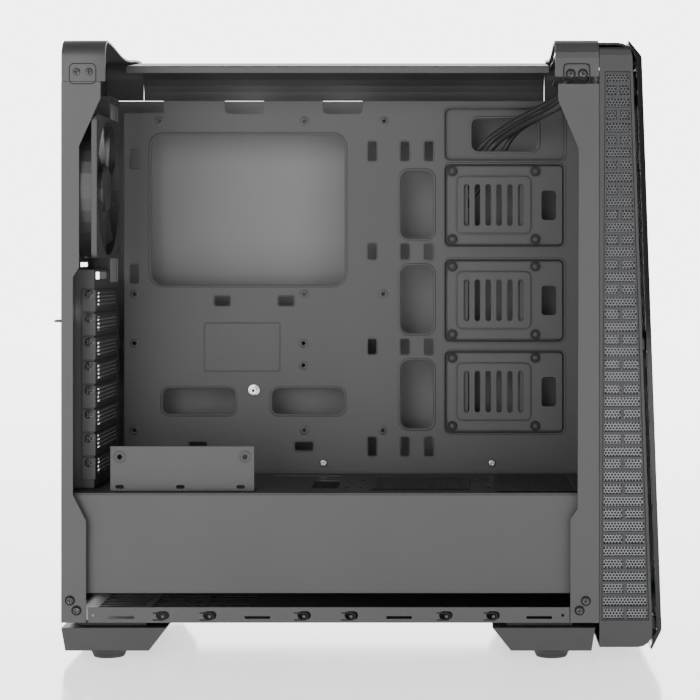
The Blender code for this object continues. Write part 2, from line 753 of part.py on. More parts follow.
def make_floor_pan():
    """The floor sheet with a slotted vent and the two rails that carry the filter below it."""
    outline = box_loop(REAR_WALL, LEFT + STEEL + GAP, CHASSIS_FRONT - STEEL - GAP, RIGHT - STEEL - GAP)
    holes = []
    for column in range(3):
        for row in range(9):
            x, y = rear(0.020) + column * 0.046, -0.062 + row * 0.0138
            holes.append(box_loop(x, y, x + 0.040, y + 0.0095))
    floor = sheet("floor_pan", "XY", [outline] + holes, FLOOR_Z, FLOOR_Z + STEEL)
    lip = FOOT_TOP + GAP
    for side in (-1, 1):
        wall = side * (FILTER_Y + 0.0006)
        profile = [
            (side * (FILTER_Y - 0.004), lip), (wall + side * STEEL, lip),
            (wall + side * STEEL, FLOOR_Z + STEEL / 2), (wall, FLOOR_Z + STEEL / 2),
            (wall, lip + 0.0007), (side * (FILTER_Y - 0.004), lip + 0.0007),
        ]
        join(floor, prisms(f"filter_rail_{side}", "YZ", [profile], REAR_WALL + STEEL, FILTER_X[1] + 0.002))
    paint("black_steel", floor)
    panes = []
    step = (FILTER_X[1] - FILTER_X[0] - 0.006) / 3
    for i in range(3):
        x = FILTER_X[0] + 0.006 + i * step
        for y in (-FILTER_Y + 0.006, 0.0015):
            panes.append(box_loop(x, y, x + step - 0.006, y + FILTER_Y - 0.0075))
    outline = box_loop(FILTER_X[0], -FILTER_Y, FILTER_X[1], FILTER_Y)
    psu_filter = sheet("psu_dust_filter", "XY", [outline], FILTER_LOW, FILTER_HIGH)
    cut(psu_filter, prisms("psu_filter_panes", "XY", panes, FILTER_LOW - STEEL, FILTER_HIGH - MESH))
    paint("matte_plastic", psu_filter)


def make_front_wall():
    wall = [box_loop(LEFT + STEEL + GAP, INSIDE_Z, RIGHT - STEEL - GAP, POST_TOP)]
    for i in range(3):
        wall.append(circle_loop(0, INSIDE_Z + 0.095 + i * 0.128, 0.057, 32))
    paint("black_steel", sheet("front_wall", "YZ", wall, FRONT_WALL, FRONT_WALL + STEEL))


# Lower shroud --------------------------------------------------------------------------


def make_shroud():
    """The side and top of the power-supply bay in one bent sheet, with its openings."""
    side_y, foot_z = LEFT + 0.009, BASE_Z + 0.0232
    bend = 0.002
    path = [(TRAY_Y - GAP, SHROUD_TOP)]
    path += arc(side_y + bend, SHROUD_TOP - bend, bend, 90, 180, 3)
    path += [(side_y, foot_z)]
    shroud = sheet("psu_shroud", "YZ", [ribbon(path, STEEL)], BAY_REAR, BAY_FRONT)
    holes = [
        rounded(rear(0.1616), 0.037, rear(0.2253), 0.046, 0.002, 2),
        rounded(rear(0.2030), LEFT + 0.047, rear(0.2261), LEFT + 0.113, 0.003, 2),
    ]
    for x in (0.2320, 0.2440, 0.3420, 0.3530):
        for y in (0.050, 0.110):
            holes.append(rounded(rear(x), LEFT + y, rear(x) + 0.004, LEFT + y + 0.012, 0.0018, 2))
    cut(shroud, prisms("shroud_holes", "XY", holes, SHROUD_TOP - 3 * STEEL, SHROUD_TOP + STEEL))
    paint("black_steel", shroud)


PUMP_HOLE_SPACING = 0.105


def make_pump_bracket():
    """The upright plate on the shroud: two holes for a pump or fan, and a foot flange."""
    low_x, length, height = rear(0.0373), PUMP_HOLE_SPACING + 0.0155, 0.0377
    face_y, foot_z = LEFT + 0.0215, SHROUD_TOP + GAP
    profile = [
        (face_y, foot_z), (face_y + 0.022, foot_z), (face_y + 0.022, foot_z + STEEL),
        (face_y + STEEL, foot_z + STEEL), (face_y + STEEL, foot_z + height), (face_y, foot_z + height),
    ]
    bracket = sheet("pump_bracket", "YZ", [profile], low_x, low_x + length)
    middle = low_x + length / 2
    spacing = PUMP_HOLE_SPACING / 2
    holes = [circle_loop(middle + s * spacing, foot_z + height - 0.009, 0.0022, 10) for s in (-1, 1)]
    for share in (0.065, 0.487, 0.906):
        x = low_x + length * share
        holes.append(rounded(x - 0.0035, foot_z + 0.0022, x + 0.0035, foot_z + 0.0052, 0.0012, 2))
    cut(bracket, prisms("bracket_holes", "XZ", holes, face_y - STEEL, face_y + 2 * STEEL))
    paint("black_steel", bracket)


# Top, caps and right side --------------------------------------------------------------

CAP_ROUND = 0.016
CAP_CROWN = 0.006
REAR_CAP_LENGTH = 0.0365
FRONT_CAP_START = front(0.0881)


def crown(y):
    """The height of a cap's top: lowest on the middle line, full height near both sides."""
    half = WIDTH / 2 - CAP_ROUND
    return HEIGHT - CAP_CROWN * (0.5 + 0.5 * math.cos(math.pi * min(abs(y) / half, 1)))


def cap_path():
    """The outer line of a cap from its left foot over the top to its right foot."""
    low = HEIGHT - CAP_ROUND
    path = [(LEFT, CAP_BOTTOM)] + arc(LEFT + CAP_ROUND, low, CAP_ROUND, 180, 90, 5)
    steps = 10
    half = WIDTH / 2 - CAP_ROUND
    path += [(y, crown(y)) for y in (-half + 2 * half * i / steps for i in range(1, steps))]
    path += arc(RIGHT - CAP_ROUND, low, CAP_ROUND, 90, 0, 5)
    return path + [(RIGHT, POST_TOP + GAP)]


def cap_shell(name, low_x, high_x, wall_low, wall_high):
    """A bar across the top, hollow below, with an end wall between wall_low and wall_high."""
    path = cap_path()
    low = POST_TOP + GAP
    outer = path + [(LEFT + 0.004, low), (LEFT + 0.004, CAP_BOTTOM)]
    inside = shifted(path, -CAP_WALL)
    inside = [(inside[0][0], low - 0.02)] + inside[1:-1] + [(inside[-1][0], low - 0.02)]
    cap = sheet(name, "YZ", [outer], low_x, high_x)
    if wall_low <= low_x:
        space = (wall_high, high_x + STEEL)
    else:
        space = (low_x - STEEL, wall_low)
    cut(cap, prisms(f"{name}_space", "YZ", [inside], *space))
    return cap


def screw_pocket(name, low_x):
    """The shallow recess with two screws at the foot of a cap's left side."""
    loop = filleted(box_loop(low_x, CAP_BOTTOM - 0.006, low_x + 0.0220, CAP_BOTTOM + 0.0108), 0.002, 2)
    return prisms(name, "XZ", [loop], LEFT - STEEL, LEFT + 0.0009)


def make_caps():
    rear_cap = cap_shell("rear_cap", REAR, rear(REAR_CAP_LENGTH), REAR, REAR + CAP_WALL)
    cut(rear_cap, screw_pocket("rear_cap_pocket", rear(0.0068)))
    front_cap = cap_shell("front_cap", FRONT_CAP_START, CHASSIS_FRONT, CHASSIS_FRONT - CAP_WALL, CHASSIS_FRONT)
    cut(front_cap, screw_pocket("front_cap_pocket", FRONT_CAP_START + 0.0069))
    low_x, half = io_place()
    opening = rounded(low_x - GAP, -half - GAP, low_x + IO_WIDTH + GAP, half + GAP, 0.004, 3)
    cut(front_cap, prisms("io_opening", "XY", [opening], HEIGHT - 0.012, HEIGHT + STEEL))
    paint("black_steel", rear_cap, front_cap)


def make_top_panel():
    """The right half of the top: a cove from the right side, then a gentle fall to the middle."""
    radius = 0.030
    crest = HEIGHT - 0.003
    path = [(0.0005, HEIGHT - 0.0190), (0.0, HEIGHT - 0.0185), (0.0, HEIGHT - 0.0135)]
    path += [(0.0012, HEIGHT - 0.0125)]
    path += arc(RIGHT - radius, crest - radius, radius, 95, 0, 8)
    path += [(RIGHT, POST_TOP + GAP)]
    panel = sheet(
        "top_panel",
        "YZ",
        [ribbon(path, -STEEL)],
        rear(REAR_CAP_LENGTH) + GAP,
        FRONT_CAP_START - GAP,
    )
    paint("black_steel", panel)


def make_right_side_panel():
    """The right side sheet with a bent rear edge that two thumbscrews hold."""
    bend_x = REAR_WALL - GAP
    profile = [
        (REAR, RIGHT), (REAR, RIGHT - STEEL), (bend_x - STEEL, RIGHT - STEEL),
        (bend_x - STEEL, RIGHT - 0.014), (bend_x, RIGHT - 0.014), (bend_x, RIGHT - STEEL),
        (CHASSIS_FRONT, RIGHT - STEEL), (CHASSIS_FRONT, RIGHT),
    ]
    panel = sheet("right_side_panel", "XY", [profile], BASE_Z, POST_TOP)
    holes = [circle_loop(PANEL_SCREW_Y, z, SCREW_R + GAP, 10) for z in PANEL_SCREW_Z]
    cut(panel, prisms("panel_screw_holes", "YZ", holes, bend_x - 2 * STEEL, bend_x + STEEL))
    paint("black_steel", panel)
    head_x = bend_x - STEEL - GAP
    shank_start = head_x - 0.0032
    for name, z in zip(("side_thumbscrew_lower", "side_thumbscrew_upper"), PANEL_SCREW_Z):
        head = rod(name, "X", (head_x - 0.0035, PANEL_SCREW_Y, z), 0.0052, 0.007, sides=16)
        shank_centre = ((shank_start + bend_x) / 2, PANEL_SCREW_Y, z)
        shank = rod(f"{name}_shank", "X", shank_centre, SCREW_R, bend_x - shank_start, sides=10, helper=True)
        smooth(pivoted(join(head, shank), (head_x, PANEL_SCREW_Y, z)))
        paint("zinc", head)


# Feet ----------------------------------------------------------------------------------


def make_feet():
    """Two plastic crossbars, each with necks up to the floor and two rubber pads."""
    shapes = {
        "rear": [
            (rear(0.0034), FOOT_BOTTOM), (rear(0.0727), FOOT_BOTTOM),
            (rear(0.0870), FOOT_TOP), (REAR, FOOT_TOP),
        ],
        "front": [
            (front(0.1247), FOOT_BOTTOM), (front(0.0580), FOOT_BOTTOM),
            (front(0.0550), FOOT_TOP), (front(0.1400), FOOT_TOP),
        ],
    }
    pads_x = {"rear": rear(0.0370), "front": front(0.0905)}
    for end, shape in shapes.items():
        foot = sheet(f"{end}_foot", "XZ", [shape], LEFT, RIGHT)
        low_x = min(x for x, z in shape) + 0.012
        high_x = max(x for x, z in shape) - 0.018
        hollow = block(
            f"{end}_foot_hollow",
            (low_x, LEFT + 0.044, FOOT_BOTTOM - STEEL),
            (high_x, RIGHT - 0.044, FOOT_TOP - 0.004),
            True,
        )
        cut(foot, hollow)
        for side, y in (("left", LEFT + 0.0125), ("right", RIGHT - 0.0285)):
            neck = block(
                f"{end}_foot_neck_{side}",
                (low_x, y, FOOT_TOP - STEEL),
                (high_x, y + 0.016, BASE_Z + STEEL),
                True,
            )
            join(foot, neck)
        paint("matte_plastic", foot)
        reach = WIDTH / 2 - PAD_R_TOP - PAD_EDGE_MARGIN
        for side, y in (("left", -reach), ("right", reach)):
            height = FOOT_BOTTOM - GAP
            centre = (pads_x[end], y, height / 2)
            pad = rod(f"{end}_pad_{side}", "Z", centre, PAD_R_FLOOR, height, PAD_R_TOP, 24)
            smooth(pad)
            paint("rubber", pad)


# Rear fan ------------------------------------------------------------------------------


def make_fan():
    half = FAN_SIZE / 2
    square = rounded(FAN_Y - half, FAN_Z - half, FAN_Y + half, FAN_Z + half, 0.005, 3)
    spacing = FAN_HOLE_SPACING / 2
    holes = [
        circle_loop(FAN_Y + sy * spacing, FAN_Z + sz * spacing, FAN_HOLE_R, 8)
        for sy in (-1, 1)
        for sz in (-1, 1)
    ]
    bore = circle_loop(FAN_Y, FAN_Z, FAN_BORE_R, 36)
    face_x = FAN_REAR + FAN_DEPTH
    frame = sheet("rear_fan_frame", "YZ", [square], FAN_REAR, FAN_REAR + FAN_FLANGE)
    front_ring = prisms("fan_front_flange", "YZ", [square], face_x - FAN_FLANGE, face_x)
    tube = [circle_loop(FAN_Y, FAN_Z, FAN_DUCT_R, 36)]
    middle = prisms("fan_duct", "YZ", tube, FAN_REAR + FAN_FLANGE / 2, face_x - FAN_FLANGE / 2)
    join(frame, middle, front_ring)
    cut(frame, prisms("fan_bores", "YZ", [bore] + holes, FAN_REAR - STEEL, face_x + STEEL))
    mount_x = (FAN_REAR + 0.0004, FAN_REAR + 0.0034)
    centre_x = (mount_x[0] + mount_x[1]) / 2
    cup = rod("fan_cup", "X", (centre_x, FAN_Y, FAN_Z), FAN_HUB_R, 0.003, sides=24, helper=True)
    join(frame, cup)
    reach = FAN_BORE_R + 0.001 - FAN_HUB_R / 2
    for i in range(4):
        turn = Matrix.Rotation(math.radians(45 + 90 * i), 4, "X")
        bm = bmesh.new()
        size = Matrix.Diagonal((0.0024, reach, 0.004, 1))
        along = Matrix.Translation((centre_x, 0, 0)) @ turn @ Matrix.Translation((0, FAN_HUB_R / 2 + reach / 2, 0))
        bmesh.ops.create_cube(bm, size=1, matrix=Matrix.Translation((0, FAN_Y, FAN_Z)) @ along @ size)
        join(frame, object_of(f"fan_strut_{i}", bm, True))
    paint("matte_plastic", frame)

    hub_low, hub_high = mount_x[1] + 0.0008, face_x - 0.0008
    rotor = rod(
        "rear_fan_rotor", "X", ((hub_low + hub_high) / 2, FAN_Y, FAN_Z),
        FAN_HUB_R, hub_high - hub_low, FAN_HUB_R - 0.0012, 24,
    )
    blades = bmesh.new()
    tip = FAN_BORE_R - BLADE_TIP_GAP
    for i in range(FAN_BLADES):
        add_blade(blades, 2 * math.pi * i / FAN_BLADES, hub_low + 0.002, hub_high - 0.001, tip)
    pivoted(rotor, ((hub_low + hub_high) / 2, FAN_Y, FAN_Z))
    join(rotor, object_of("fan_blades", blades, True))
    paint("matte_plastic", rotor)


def add_blade(bm, start, low_x, high_x, tip):
    """One twisted blade: chord and pitch change along the radius, as a grid with two faces."""
    along, across, thickness = 3, 2, 0.0015
    root = FAN_HUB_R - 0.002
    sheets = []
    for side in (-0.5, 0.5):
        grid = []
        for i in range(along + 1):
            share = i / along
            radius = root + (tip - root) * share
            sweep = math.radians(40 - 12 * share)
            lead = math.radians(14) * share
            row = []
            for j in range(across + 1):
                t = j / across
                angle = start + lead + sweep * (t - 0.5)
                x = low_x + (high_x - low_x) * (t ** 1.15) + side * thickness
                row.append(bm.verts.new((x, FAN_Y + radius * math.cos(angle), FAN_Z + radius * math.sin(angle))))
            grid.append(row)
        sheets.append(grid)
    lower, upper = sheets
    for grid in sheets:
        for i in range(along):
            for j in range(across):
                bm.faces.new((grid[i][j], grid[i + 1][j], grid[i + 1][j + 1], grid[i][j + 1]))
    rim = [(i, 0) for i in range(along)] + [(along, j) for j in range(across)]
    rim += [(i, across) for i in range(along, 0, -1)] + [(0, j) for j in range(across, 0, -1)]
    for (i, j), (k, m) in zip(rim, rim[1:] + rim[:1]):
        bm.faces.new((lower[i][j], lower[k][m], upper[k][m], upper[i][j]))


# Front panel ---------------------------------------------------------------------------

BEZEL_REAR = CHASSIS_FRONT + GAP
BEZEL_TOP = HEIGHT - BEZEL_TOP_DROP
PLATE_TOP = HEIGHT - 0.0011
PLATE_BOTTOM = 0.0084


def slant(top_inset, foot_inset, z):
    """x on a line that slants from its top inset to its foot inset, at the height z."""
    share = (BEZEL_TOP - z) / (BEZEL_TOP - BEZEL_BOTTOM)
    return front(top_inset + (foot_inset - top_inset) * share)


def bezel_face(z, behind=0.0):
    return slant(BEZEL_TOP_INSET + behind, BEZEL_FOOT_INSET + behind, z)


def plate_face(z, behind=0.0):
    return slant(PLATE_TOP_INSET + 0.0004 + behind, -0.0006 + behind, z)


def plate_back(z):
    return bezel_face(z, -PLATE_STAND_OFF)


def bezel_outline(inset):
    low, high = BEZEL_BOTTOM + inset, BEZEL_TOP - inset
    start = BEZEL_REAR if inset == 0 else BEZEL_REAR - 0.004
    points = [(start, low), (bezel_face(low, inset), low), (bezel_face(high, inset), high), (start, high)]
    rounds = filleted(points, 0.012 - inset, 4)
    return [points[0]] + rounds[5:15] + [points[3]]


def grille_outline(grow, face_inset=0.0024):
    """The opening for a side grille: narrow at the top, wide at the foot."""
    high = HEIGHT - GRILLE_TOP_DROP + GRILLE_PITCH / 2
    low = high - GRILLE_ROWS * GRILLE_PITCH
    return [
        (BEZEL_REAR + 0.0016 - grow, low - grow),
        (bezel_face(low, face_inset) + grow, low - grow),
        (bezel_face(high, face_inset) + grow, high + grow),
        (BEZEL_REAR + 0.0046 - grow, high + grow),
    ]


def grille_slots():
    """The rows of slots: one long slot, then two halves, in turn down the grille."""
    slots = []
    for k in range(GRILLE_ROWS):
        z = HEIGHT - GRILLE_TOP_DROP - k * GRILLE_PITCH
        share = k / (GRILLE_ROWS - 1)
        low_x = BEZEL_REAR + 0.0062 - 0.0033 * share
        high_x = bezel_face(z, 0.0038)
        middle = (low_x + high_x) / 2
        ends = [(low_x, high_x)]
        if k % 2:
            ends = [(low_x, middle - GRILLE_BRIDGE / 2), (middle + GRILLE_BRIDGE / 2, high_x)]
        for a, b in ends:
            slots.append(box_loop(a, z - GRILLE_SLOT / 2, b, z + GRILLE_SLOT / 2))
    return slots


def make_bezel():
    bezel = sheet("front_bezel", "XZ", [bezel_outline(0)], LEFT, RIGHT)
    corner = [(LEFT, BEZEL_BOTTOM - STEEL), (RIGHT, BEZEL_BOTTOM - STEEL)]
    corner += arc(RIGHT - 0.012, BEZEL_TOP + STEEL - 0.012, 0.012, 0, 90, 4)
    corner += arc(LEFT + 0.012, BEZEL_TOP + STEEL - 0.012, 0.012, 90, 180, 4)
    boolean(bezel, prisms("bezel_corners", "YZ", [corner], BEZEL_REAR - STEEL, FRONT + STEEL), "INTERSECT")
    inner = prisms("bezel_space", "XZ", [bezel_outline(BEZEL_WALL)], LEFT + 0.0022, RIGHT - 0.0022)
    grilles = prisms("bezel_sides", "XZ", [grille_outline(0)], LEFT - STEEL, RIGHT + STEEL)
    cut(bezel, inner, grilles)
    paint("matte_plastic", bezel)

    for side, sign in (("left", 1), ("right", -1)):
        edge = sign * LEFT
        near, far = edge + sign * 0.0004, edge + sign * (0.0004 + GRILLE_WALL)
        low, high = min(near, far), max(near, far)
        grille = sheet(f"side_grille_{side}", "XZ", [grille_outline(-GAP)], low, high)
        cut(grille, prisms(f"grille_slots_{side}", "XZ", grille_slots(), low - STEEL, high + STEEL))
        paint("matte_plastic", grille)
        near, far = edge + sign * (BEZEL_WALL + GAP), edge + sign * (BEZEL_WALL + GAP + MESH)
        paint("mesh_steel", sheet(f"side_mesh_{side}", "XZ", [grille_outline(0.0014, 0.0042)], min(near, far), max(near, far)))


def make_front_plate():
    """The glossy plate: a shallow shell that stands off the bezel on six pegs."""
    foot_z = PLATE_BOTTOM + 0.0164
    points = [
        (plate_back(foot_z) + 0.0003, foot_z), (front(0.0096), PLATE_BOTTOM + 0.0016),
        (front(0.0084), PLATE_BOTTOM), (FRONT, foot_z),
        (plate_face(PLATE_TOP - 0.0134), PLATE_TOP - 0.0134), (front(0.0276), PLATE_TOP),
        (front(0.0276), PLATE_TOP - 0.0022), (plate_back(PLATE_TOP - 0.0160), PLATE_TOP - 0.0160),
    ]
    outer = points[:3] + filleted(points, 0.006, 3)[12:20] + points[5:]
    plate = sheet("front_plate", "XZ", [outer], LEFT, RIGHT)
    low, high = PLATE_BOTTOM + 0.022, PLATE_TOP - 0.022
    inside = [
        (plate_back(low) - 0.003, low), (plate_face(low, PLATE_WALL), low),
        (plate_face(high, PLATE_WALL), high), (plate_back(high) - 0.003, high),
    ]
    hollow = prisms("plate_space", "XZ", [inside], LEFT + PLATE_RETURN, RIGHT - PLATE_RETURN)
    cut(plate, hollow)
    heights = [PLATE_BOTTOM + share * (PLATE_TOP - PLATE_BOTTOM) for share in (0.04, 0.5, 0.93)]
    pegs = []
    for z in heights:
        tall = 0.005
        pegs.append(
            [
                (bezel_face(z - tall, -GAP), z - tall), (plate_face(z - tall, 0.0012), z - tall),
                (plate_face(z + tall, 0.0012), z + tall), (bezel_face(z + tall, -GAP), z + tall),
            ]
        )
    for side, y in (("left", LEFT + 0.0125), ("right", RIGHT - 0.0185)):
        join(plate, prisms(f"plate_pegs_{side}", "XZ", pegs, y, y + 0.006))
    paint("gloss_plastic", plate)

    near = BEZEL_REAR + 0.0004
    outline = box_loop(LEFT + 0.020, BEZEL_BOTTOM + 0.040, RIGHT - 0.020, POST_TOP - 0.012)
    panes = []
    span = (POST_TOP - 0.012 - BEZEL_BOTTOM - 0.040 - 0.008) / 4
    for i in range(4):
        low = BEZEL_BOTTOM + 0.048 + i * span
        for a, b in ((LEFT + 0.028, -0.004), (0.004, RIGHT - 0.028)):
            panes.append(box_loop(a, low, b, low + span - 0.008))
    front_filter = sheet("front_dust_filter", "YZ", [outline], near, near + 0.003)
    cut(front_filter, prisms("front_filter_panes", "YZ", panes, near + MESH, near + 0.003 + STEEL))
    paint("matte_plastic", front_filter)


# Front ports ---------------------------------------------------------------------------

PORT_Y = {"power": -0.046, "reset": -0.028, "usb_1": -0.007, "usb_2": 0.014, "audio_1": 0.033, "audio_2": 0.048}


def io_place():
    """The rear edge and the half length of the port strip."""
    return (FRONT_CAP_START + CHASSIS_FRONT - CAP_WALL - IO_WIDTH) / 2, IO_LENGTH / 2


def make_ports():
    low_x, half = io_place()
    middle = low_x + IO_WIDTH / 2
    top, board_top = HEIGHT - IO_DROP, HEIGHT - IO_BOARD_DROP
    strip = [
        rounded(low_x, -half, low_x + IO_WIDTH, half, 0.004, 3),
        circle_loop(middle, PORT_Y["power"], POWER_R + BUTTON_CLEARANCE, 24),
        circle_loop(middle, PORT_Y["reset"], RESET_R + BUTTON_CLEARANCE, 16),
    ]
    usb_x, usb_y, jack_r = 0.0131 / 2, 0.0058 / 2, 0.003
    for name in ("usb_1", "usb_2"):
        strip.append(box_loop(middle - usb_x, PORT_Y[name] - usb_y, middle + usb_x, PORT_Y[name] + usb_y))
    for name in ("audio_1", "audio_2"):
        strip.append(circle_loop(middle, PORT_Y[name], jack_r, 16))
    paint("matte_plastic", sheet("io_panel", "XY", strip, top - IO_WALL, top))
    board = sheet("io_board", "XY", [box_loop(low_x + 0.002, -half + 0.004, low_x + IO_WIDTH - 0.002, half - 0.004)], board_top - 0.0016, board_top)
    paint("board", board)
    body_top, body_low = top - IO_WALL - GAP, board_top + GAP
    for i in (1, 2):
        y = PORT_Y[f"usb_{i}"]
        wall = 0.0009
        usb = sheet(f"usb_port_{i}", "XY", [box_loop(middle - usb_x - wall, y - usb_y - wall, middle + usb_x + wall, y + usb_y + wall)], body_low, body_top)
        cut(usb, block(f"usb_mouth_{i}", (middle - usb_x, y - usb_y, body_low + 0.002), (middle + usb_x, y + usb_y, body_top + STEEL), True))
        paint("socket_plastic", usb)
        y = PORT_Y[f"audio_{i}"]
        jack = sheet(f"audio_jack_{i}", "XY", [circle_loop(middle, y, 0.0042, 16)], body_low, body_top)
        cut(jack, rod(f"jack_bore_{i}", "Z", (middle, y, body_top - 0.004), 0.00178, 0.010, sides=12, helper=True))
        paint("socket_plastic", smooth(jack))
    for name, radius, sides in (("power", POWER_R, 24), ("reset", RESET_R, 16)):
        button = rod(f"{name}_button", "Z", (middle, PORT_Y[name], top - 0.0055), radius, 0.0125, sides=sides)
        paint("matte_plastic", smooth(bevelled(button, 0.0004, 1, 50)))


# Front-port leads ----------------------------------------------------------------------

LEAD_Y = TRAY_Y + 0.0115
USB_R = 0.0032
THIN_R = 0.0024


def smooth_route(points, spacing):
    """Evenly spaced points on a Catmull-Rom curve through the route's own points."""
    ends = [2 * Vector(points[0]) - Vector(points[1])]
    knots = ends + [Vector(p) for p in points] + [2 * Vector(points[-1]) - Vector(points[-2])]
    fine = []
    for a, b, c, d in zip(knots, knots[1:], knots[2:], knots[3:]):
        for k in range(12):
            t = k / 12
            fine.append(
                0.5 * (2 * b + (c - a) * t + (2 * a - 5 * b + 4 * c - d) * t * t + (3 * b - a - 3 * c + d) * t ** 3)
            )
    fine.append(Vector(points[-1]))
    lengths = [0.0]
    for a, b in zip(fine, fine[1:]):
        lengths.append(lengths[-1] + (b - a).length)
    count = round(lengths[-1] / spacing)
    route, k = [], 0
    for i in range(count + 1):
        target = lengths[-1] * i / count
        while k < len(fine) - 2 and lengths[k + 1] < target:
            k += 1
        share = (target - lengths[k]) / max(lengths[k + 1] - lengths[k], 1e-9)
        route.append(fine[k].lerp(fine[k + 1], min(share, 1)))
    return route


def tube(name, points, radius, spacing):
    """A round lead along the route, its end caps welded on."""
    curve = bpy.data.curves.new(name, "CURVE")
    curve.dimensions = "3D"
    curve.bevel_depth = radius
    curve.bevel_resolution = 2
    curve.use_fill_caps = True
    route = smooth_route(points, spacing)
    spline = curve.splines.new("POLY")
    spline.points.add(len(route) - 1)
    for point, place in zip(spline.points, route):
        point.co = (*place, 1)
    drawn = bpy.data.objects.new(name, curve)
    mesh = bpy.data.meshes.new_from_object(drawn)
    bpy.data.objects.remove(drawn)
    bpy.data.curves.remove(curve)
    bm = bmesh.new()
    bm.from_mesh(mesh)
    bpy.data.meshes.remove(mesh)
    bmesh.ops.remove_doubles(bm, verts=bm.verts, dist=WELD)
    return smooth(object_of(name, bm), 60)


LOOP_Y = LEAD_Y + 0.020
# Each lead's radius, the line it runs down, where its end hangs below the tray's top, and its start.
LEADS = {
    "switch": (THIN_R, 0.3090, 0.1900, [
        (0.4230, -0.0280, -0.0102), (0.4228, -0.0278, -0.0050), (0.4190, -0.0130, 0.0000),
        (0.4080, 0.0080, 0.0060), (0.3950, 0.0240, 0.0120), (0.3810, 0.0400, 0.0190),
        (0.3680, 0.0550, 0.0265), (0.3580, 0.0650, 0.0330), (0.3510, 0.0710, 0.0395),
        (0.3450, 0.0740, 0.0470), (0.3330, 0.0740, 0.0680), (0.3180, 0.0740, 0.0900),
        (0.3100, 0.0740, 0.1120), (0.3090, 0.0740, 0.1300),
    ]),
    "usb": (USB_R, 0.3170, 0.2450, [
        (0.4230, -0.0060, -0.0102), (0.4230, -0.0058, -0.0050), (0.4190, 0.0020, 0.0070),
        (0.4080, 0.0130, 0.0140), (0.3960, 0.0280, 0.0190), (0.3840, 0.0440, 0.0245),
        (0.3740, 0.0580, 0.0300), (0.3670, 0.0680, 0.0345), (0.3615, 0.0730, 0.0395),
        (0.3555, 0.0745, 0.0480), (0.3450, 0.0740, 0.0660), (0.3290, 0.0740, 0.0900),
        (0.3185, 0.0740, 0.1130), (0.3170, 0.0740, 0.1300),
    ]),
    "audio": (THIN_R, 0.3250, 0.2000, [
        (0.4230, 0.0380, -0.0102), (0.4228, 0.0380, -0.0050), (0.4190, 0.0385, 0.0060),
        (0.4110, 0.0400, 0.0120), (0.4010, 0.0440, 0.0170), (0.3920, 0.0500, 0.0215),
        (0.3850, 0.0570, 0.0260), (0.3795, 0.0650, 0.0310), (0.3750, 0.0710, 0.0370),
        (0.3700, 0.0740, 0.0460), (0.3590, 0.0740, 0.0650), (0.3420, 0.0740, 0.0870),
        (0.3280, 0.0740, 0.1110), (0.3250, 0.0740, 0.1300),
    ]),
}
# Each plug's half width, half thickness and length.
PLUGS = {"usb": (0.0105, 0.005, 0.018), "audio": (0.0052, 0.0026, 0.014), "switch": (0.0045, 0.0026, 0.014)}
TURN_DOWN = 0.3240
CLIPS_DOWN = (0.1379, 0.3085)


def turned_back(run_x, end_down):
    """The run down behind the tray, the turn at its foot, and the run back up to the plug."""
    middle, half = (LEAD_Y + LOOP_Y) / 2, (LOOP_Y - LEAD_Y) / 2
    route = [(run_x, LEAD_Y, 0.2000), (run_x, LEAD_Y, TURN_DOWN - 0.012)]
    route += [(run_x, middle + half * math.sin(t), TURN_DOWN + half * math.cos(t)) for t in (-1.2, -0.4, 0.4, 1.2)]
    return route + [(run_x, LOOP_Y, TURN_DOWN - 0.012), (run_x, LOOP_Y, end_down + 0.030), (run_x, LOOP_Y, end_down)]


def make_leads():
    """Three leads from the port board through the top cut-out to clips behind the tray."""
    for name, (radius, run_x, end_down, route) in LEADS.items():
        shift = LEAD_Y - 0.074
        points = [(rear(x), y + shift, below(z)) for x, y, z in route]
        points += [(rear(x), y, below(z)) for x, y, z in turned_back(run_x, end_down)]
        paint("cable", tube(f"{name}_lead", points, radius, 0.014))
        x, y, z = points[-1]
        wide, deep, long = PLUGS[name]
        plug = block(f"{name}_plug", (x - deep, y - wide, z + GAP), (x + deep, y + wide, z + GAP + long))
        paint("socket_plastic", plug)
    for i, down in enumerate(CLIPS_DOWN, 1):
        make_lead_clip(f"lead_clip_{i}", below(down))


def make_lead_clip(name, z):
    """A moulded clip on the tray's back, closed round the runs that go down and come back up."""
    half, wall, slack = 0.0035, 0.0012, 0.0006
    low_x, high_x = rear(LEADS["switch"][1]) - THIN_R - slack, rear(LEADS["audio"][1]) + THIN_R + slack
    high_y = LOOP_Y + USB_R + slack
    inner = box_loop(low_x, LEAD_Y - USB_R - slack, high_x, high_y)
    outer = box_loop(low_x - wall, TRAY_Y + STEEL + GAP, high_x + wall, high_y + wall)
    paint("matte_plastic", sheet(name, "XY", [outer, inner], z - half, z + half))


def main():
    make_tray()
    make_drive_trays()
    make_rear_panel()
    make_slot_covers()
    make_slot_door()
    make_rear_post()
    make_front_post()
    make_bottom_rail()
    make_floor_pan()
    make_front_wall()
    make_shroud()
    make_pump_bracket()
    make_caps()
    make_top_panel()
    make_right_side_panel()
    make_feet()
    make_fan()
    make_bezel()
    make_front_plate()
    make_ports()
    make_leads()


clear_scene()
PARTS = collection_named("computer_tower")
CUTTERS = collection_named("cutters", hidden=True)
main()
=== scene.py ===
"""Looks of a desktop computer tower: finishes for its packed frame, and the small pieces that
the frame leaves out, such as screws, perforated sheets, rims, fan blades, leads and sockets.

Laid out as an add-on. Each piece is a surface worked out with numpy and rides on a body.
"""

import math

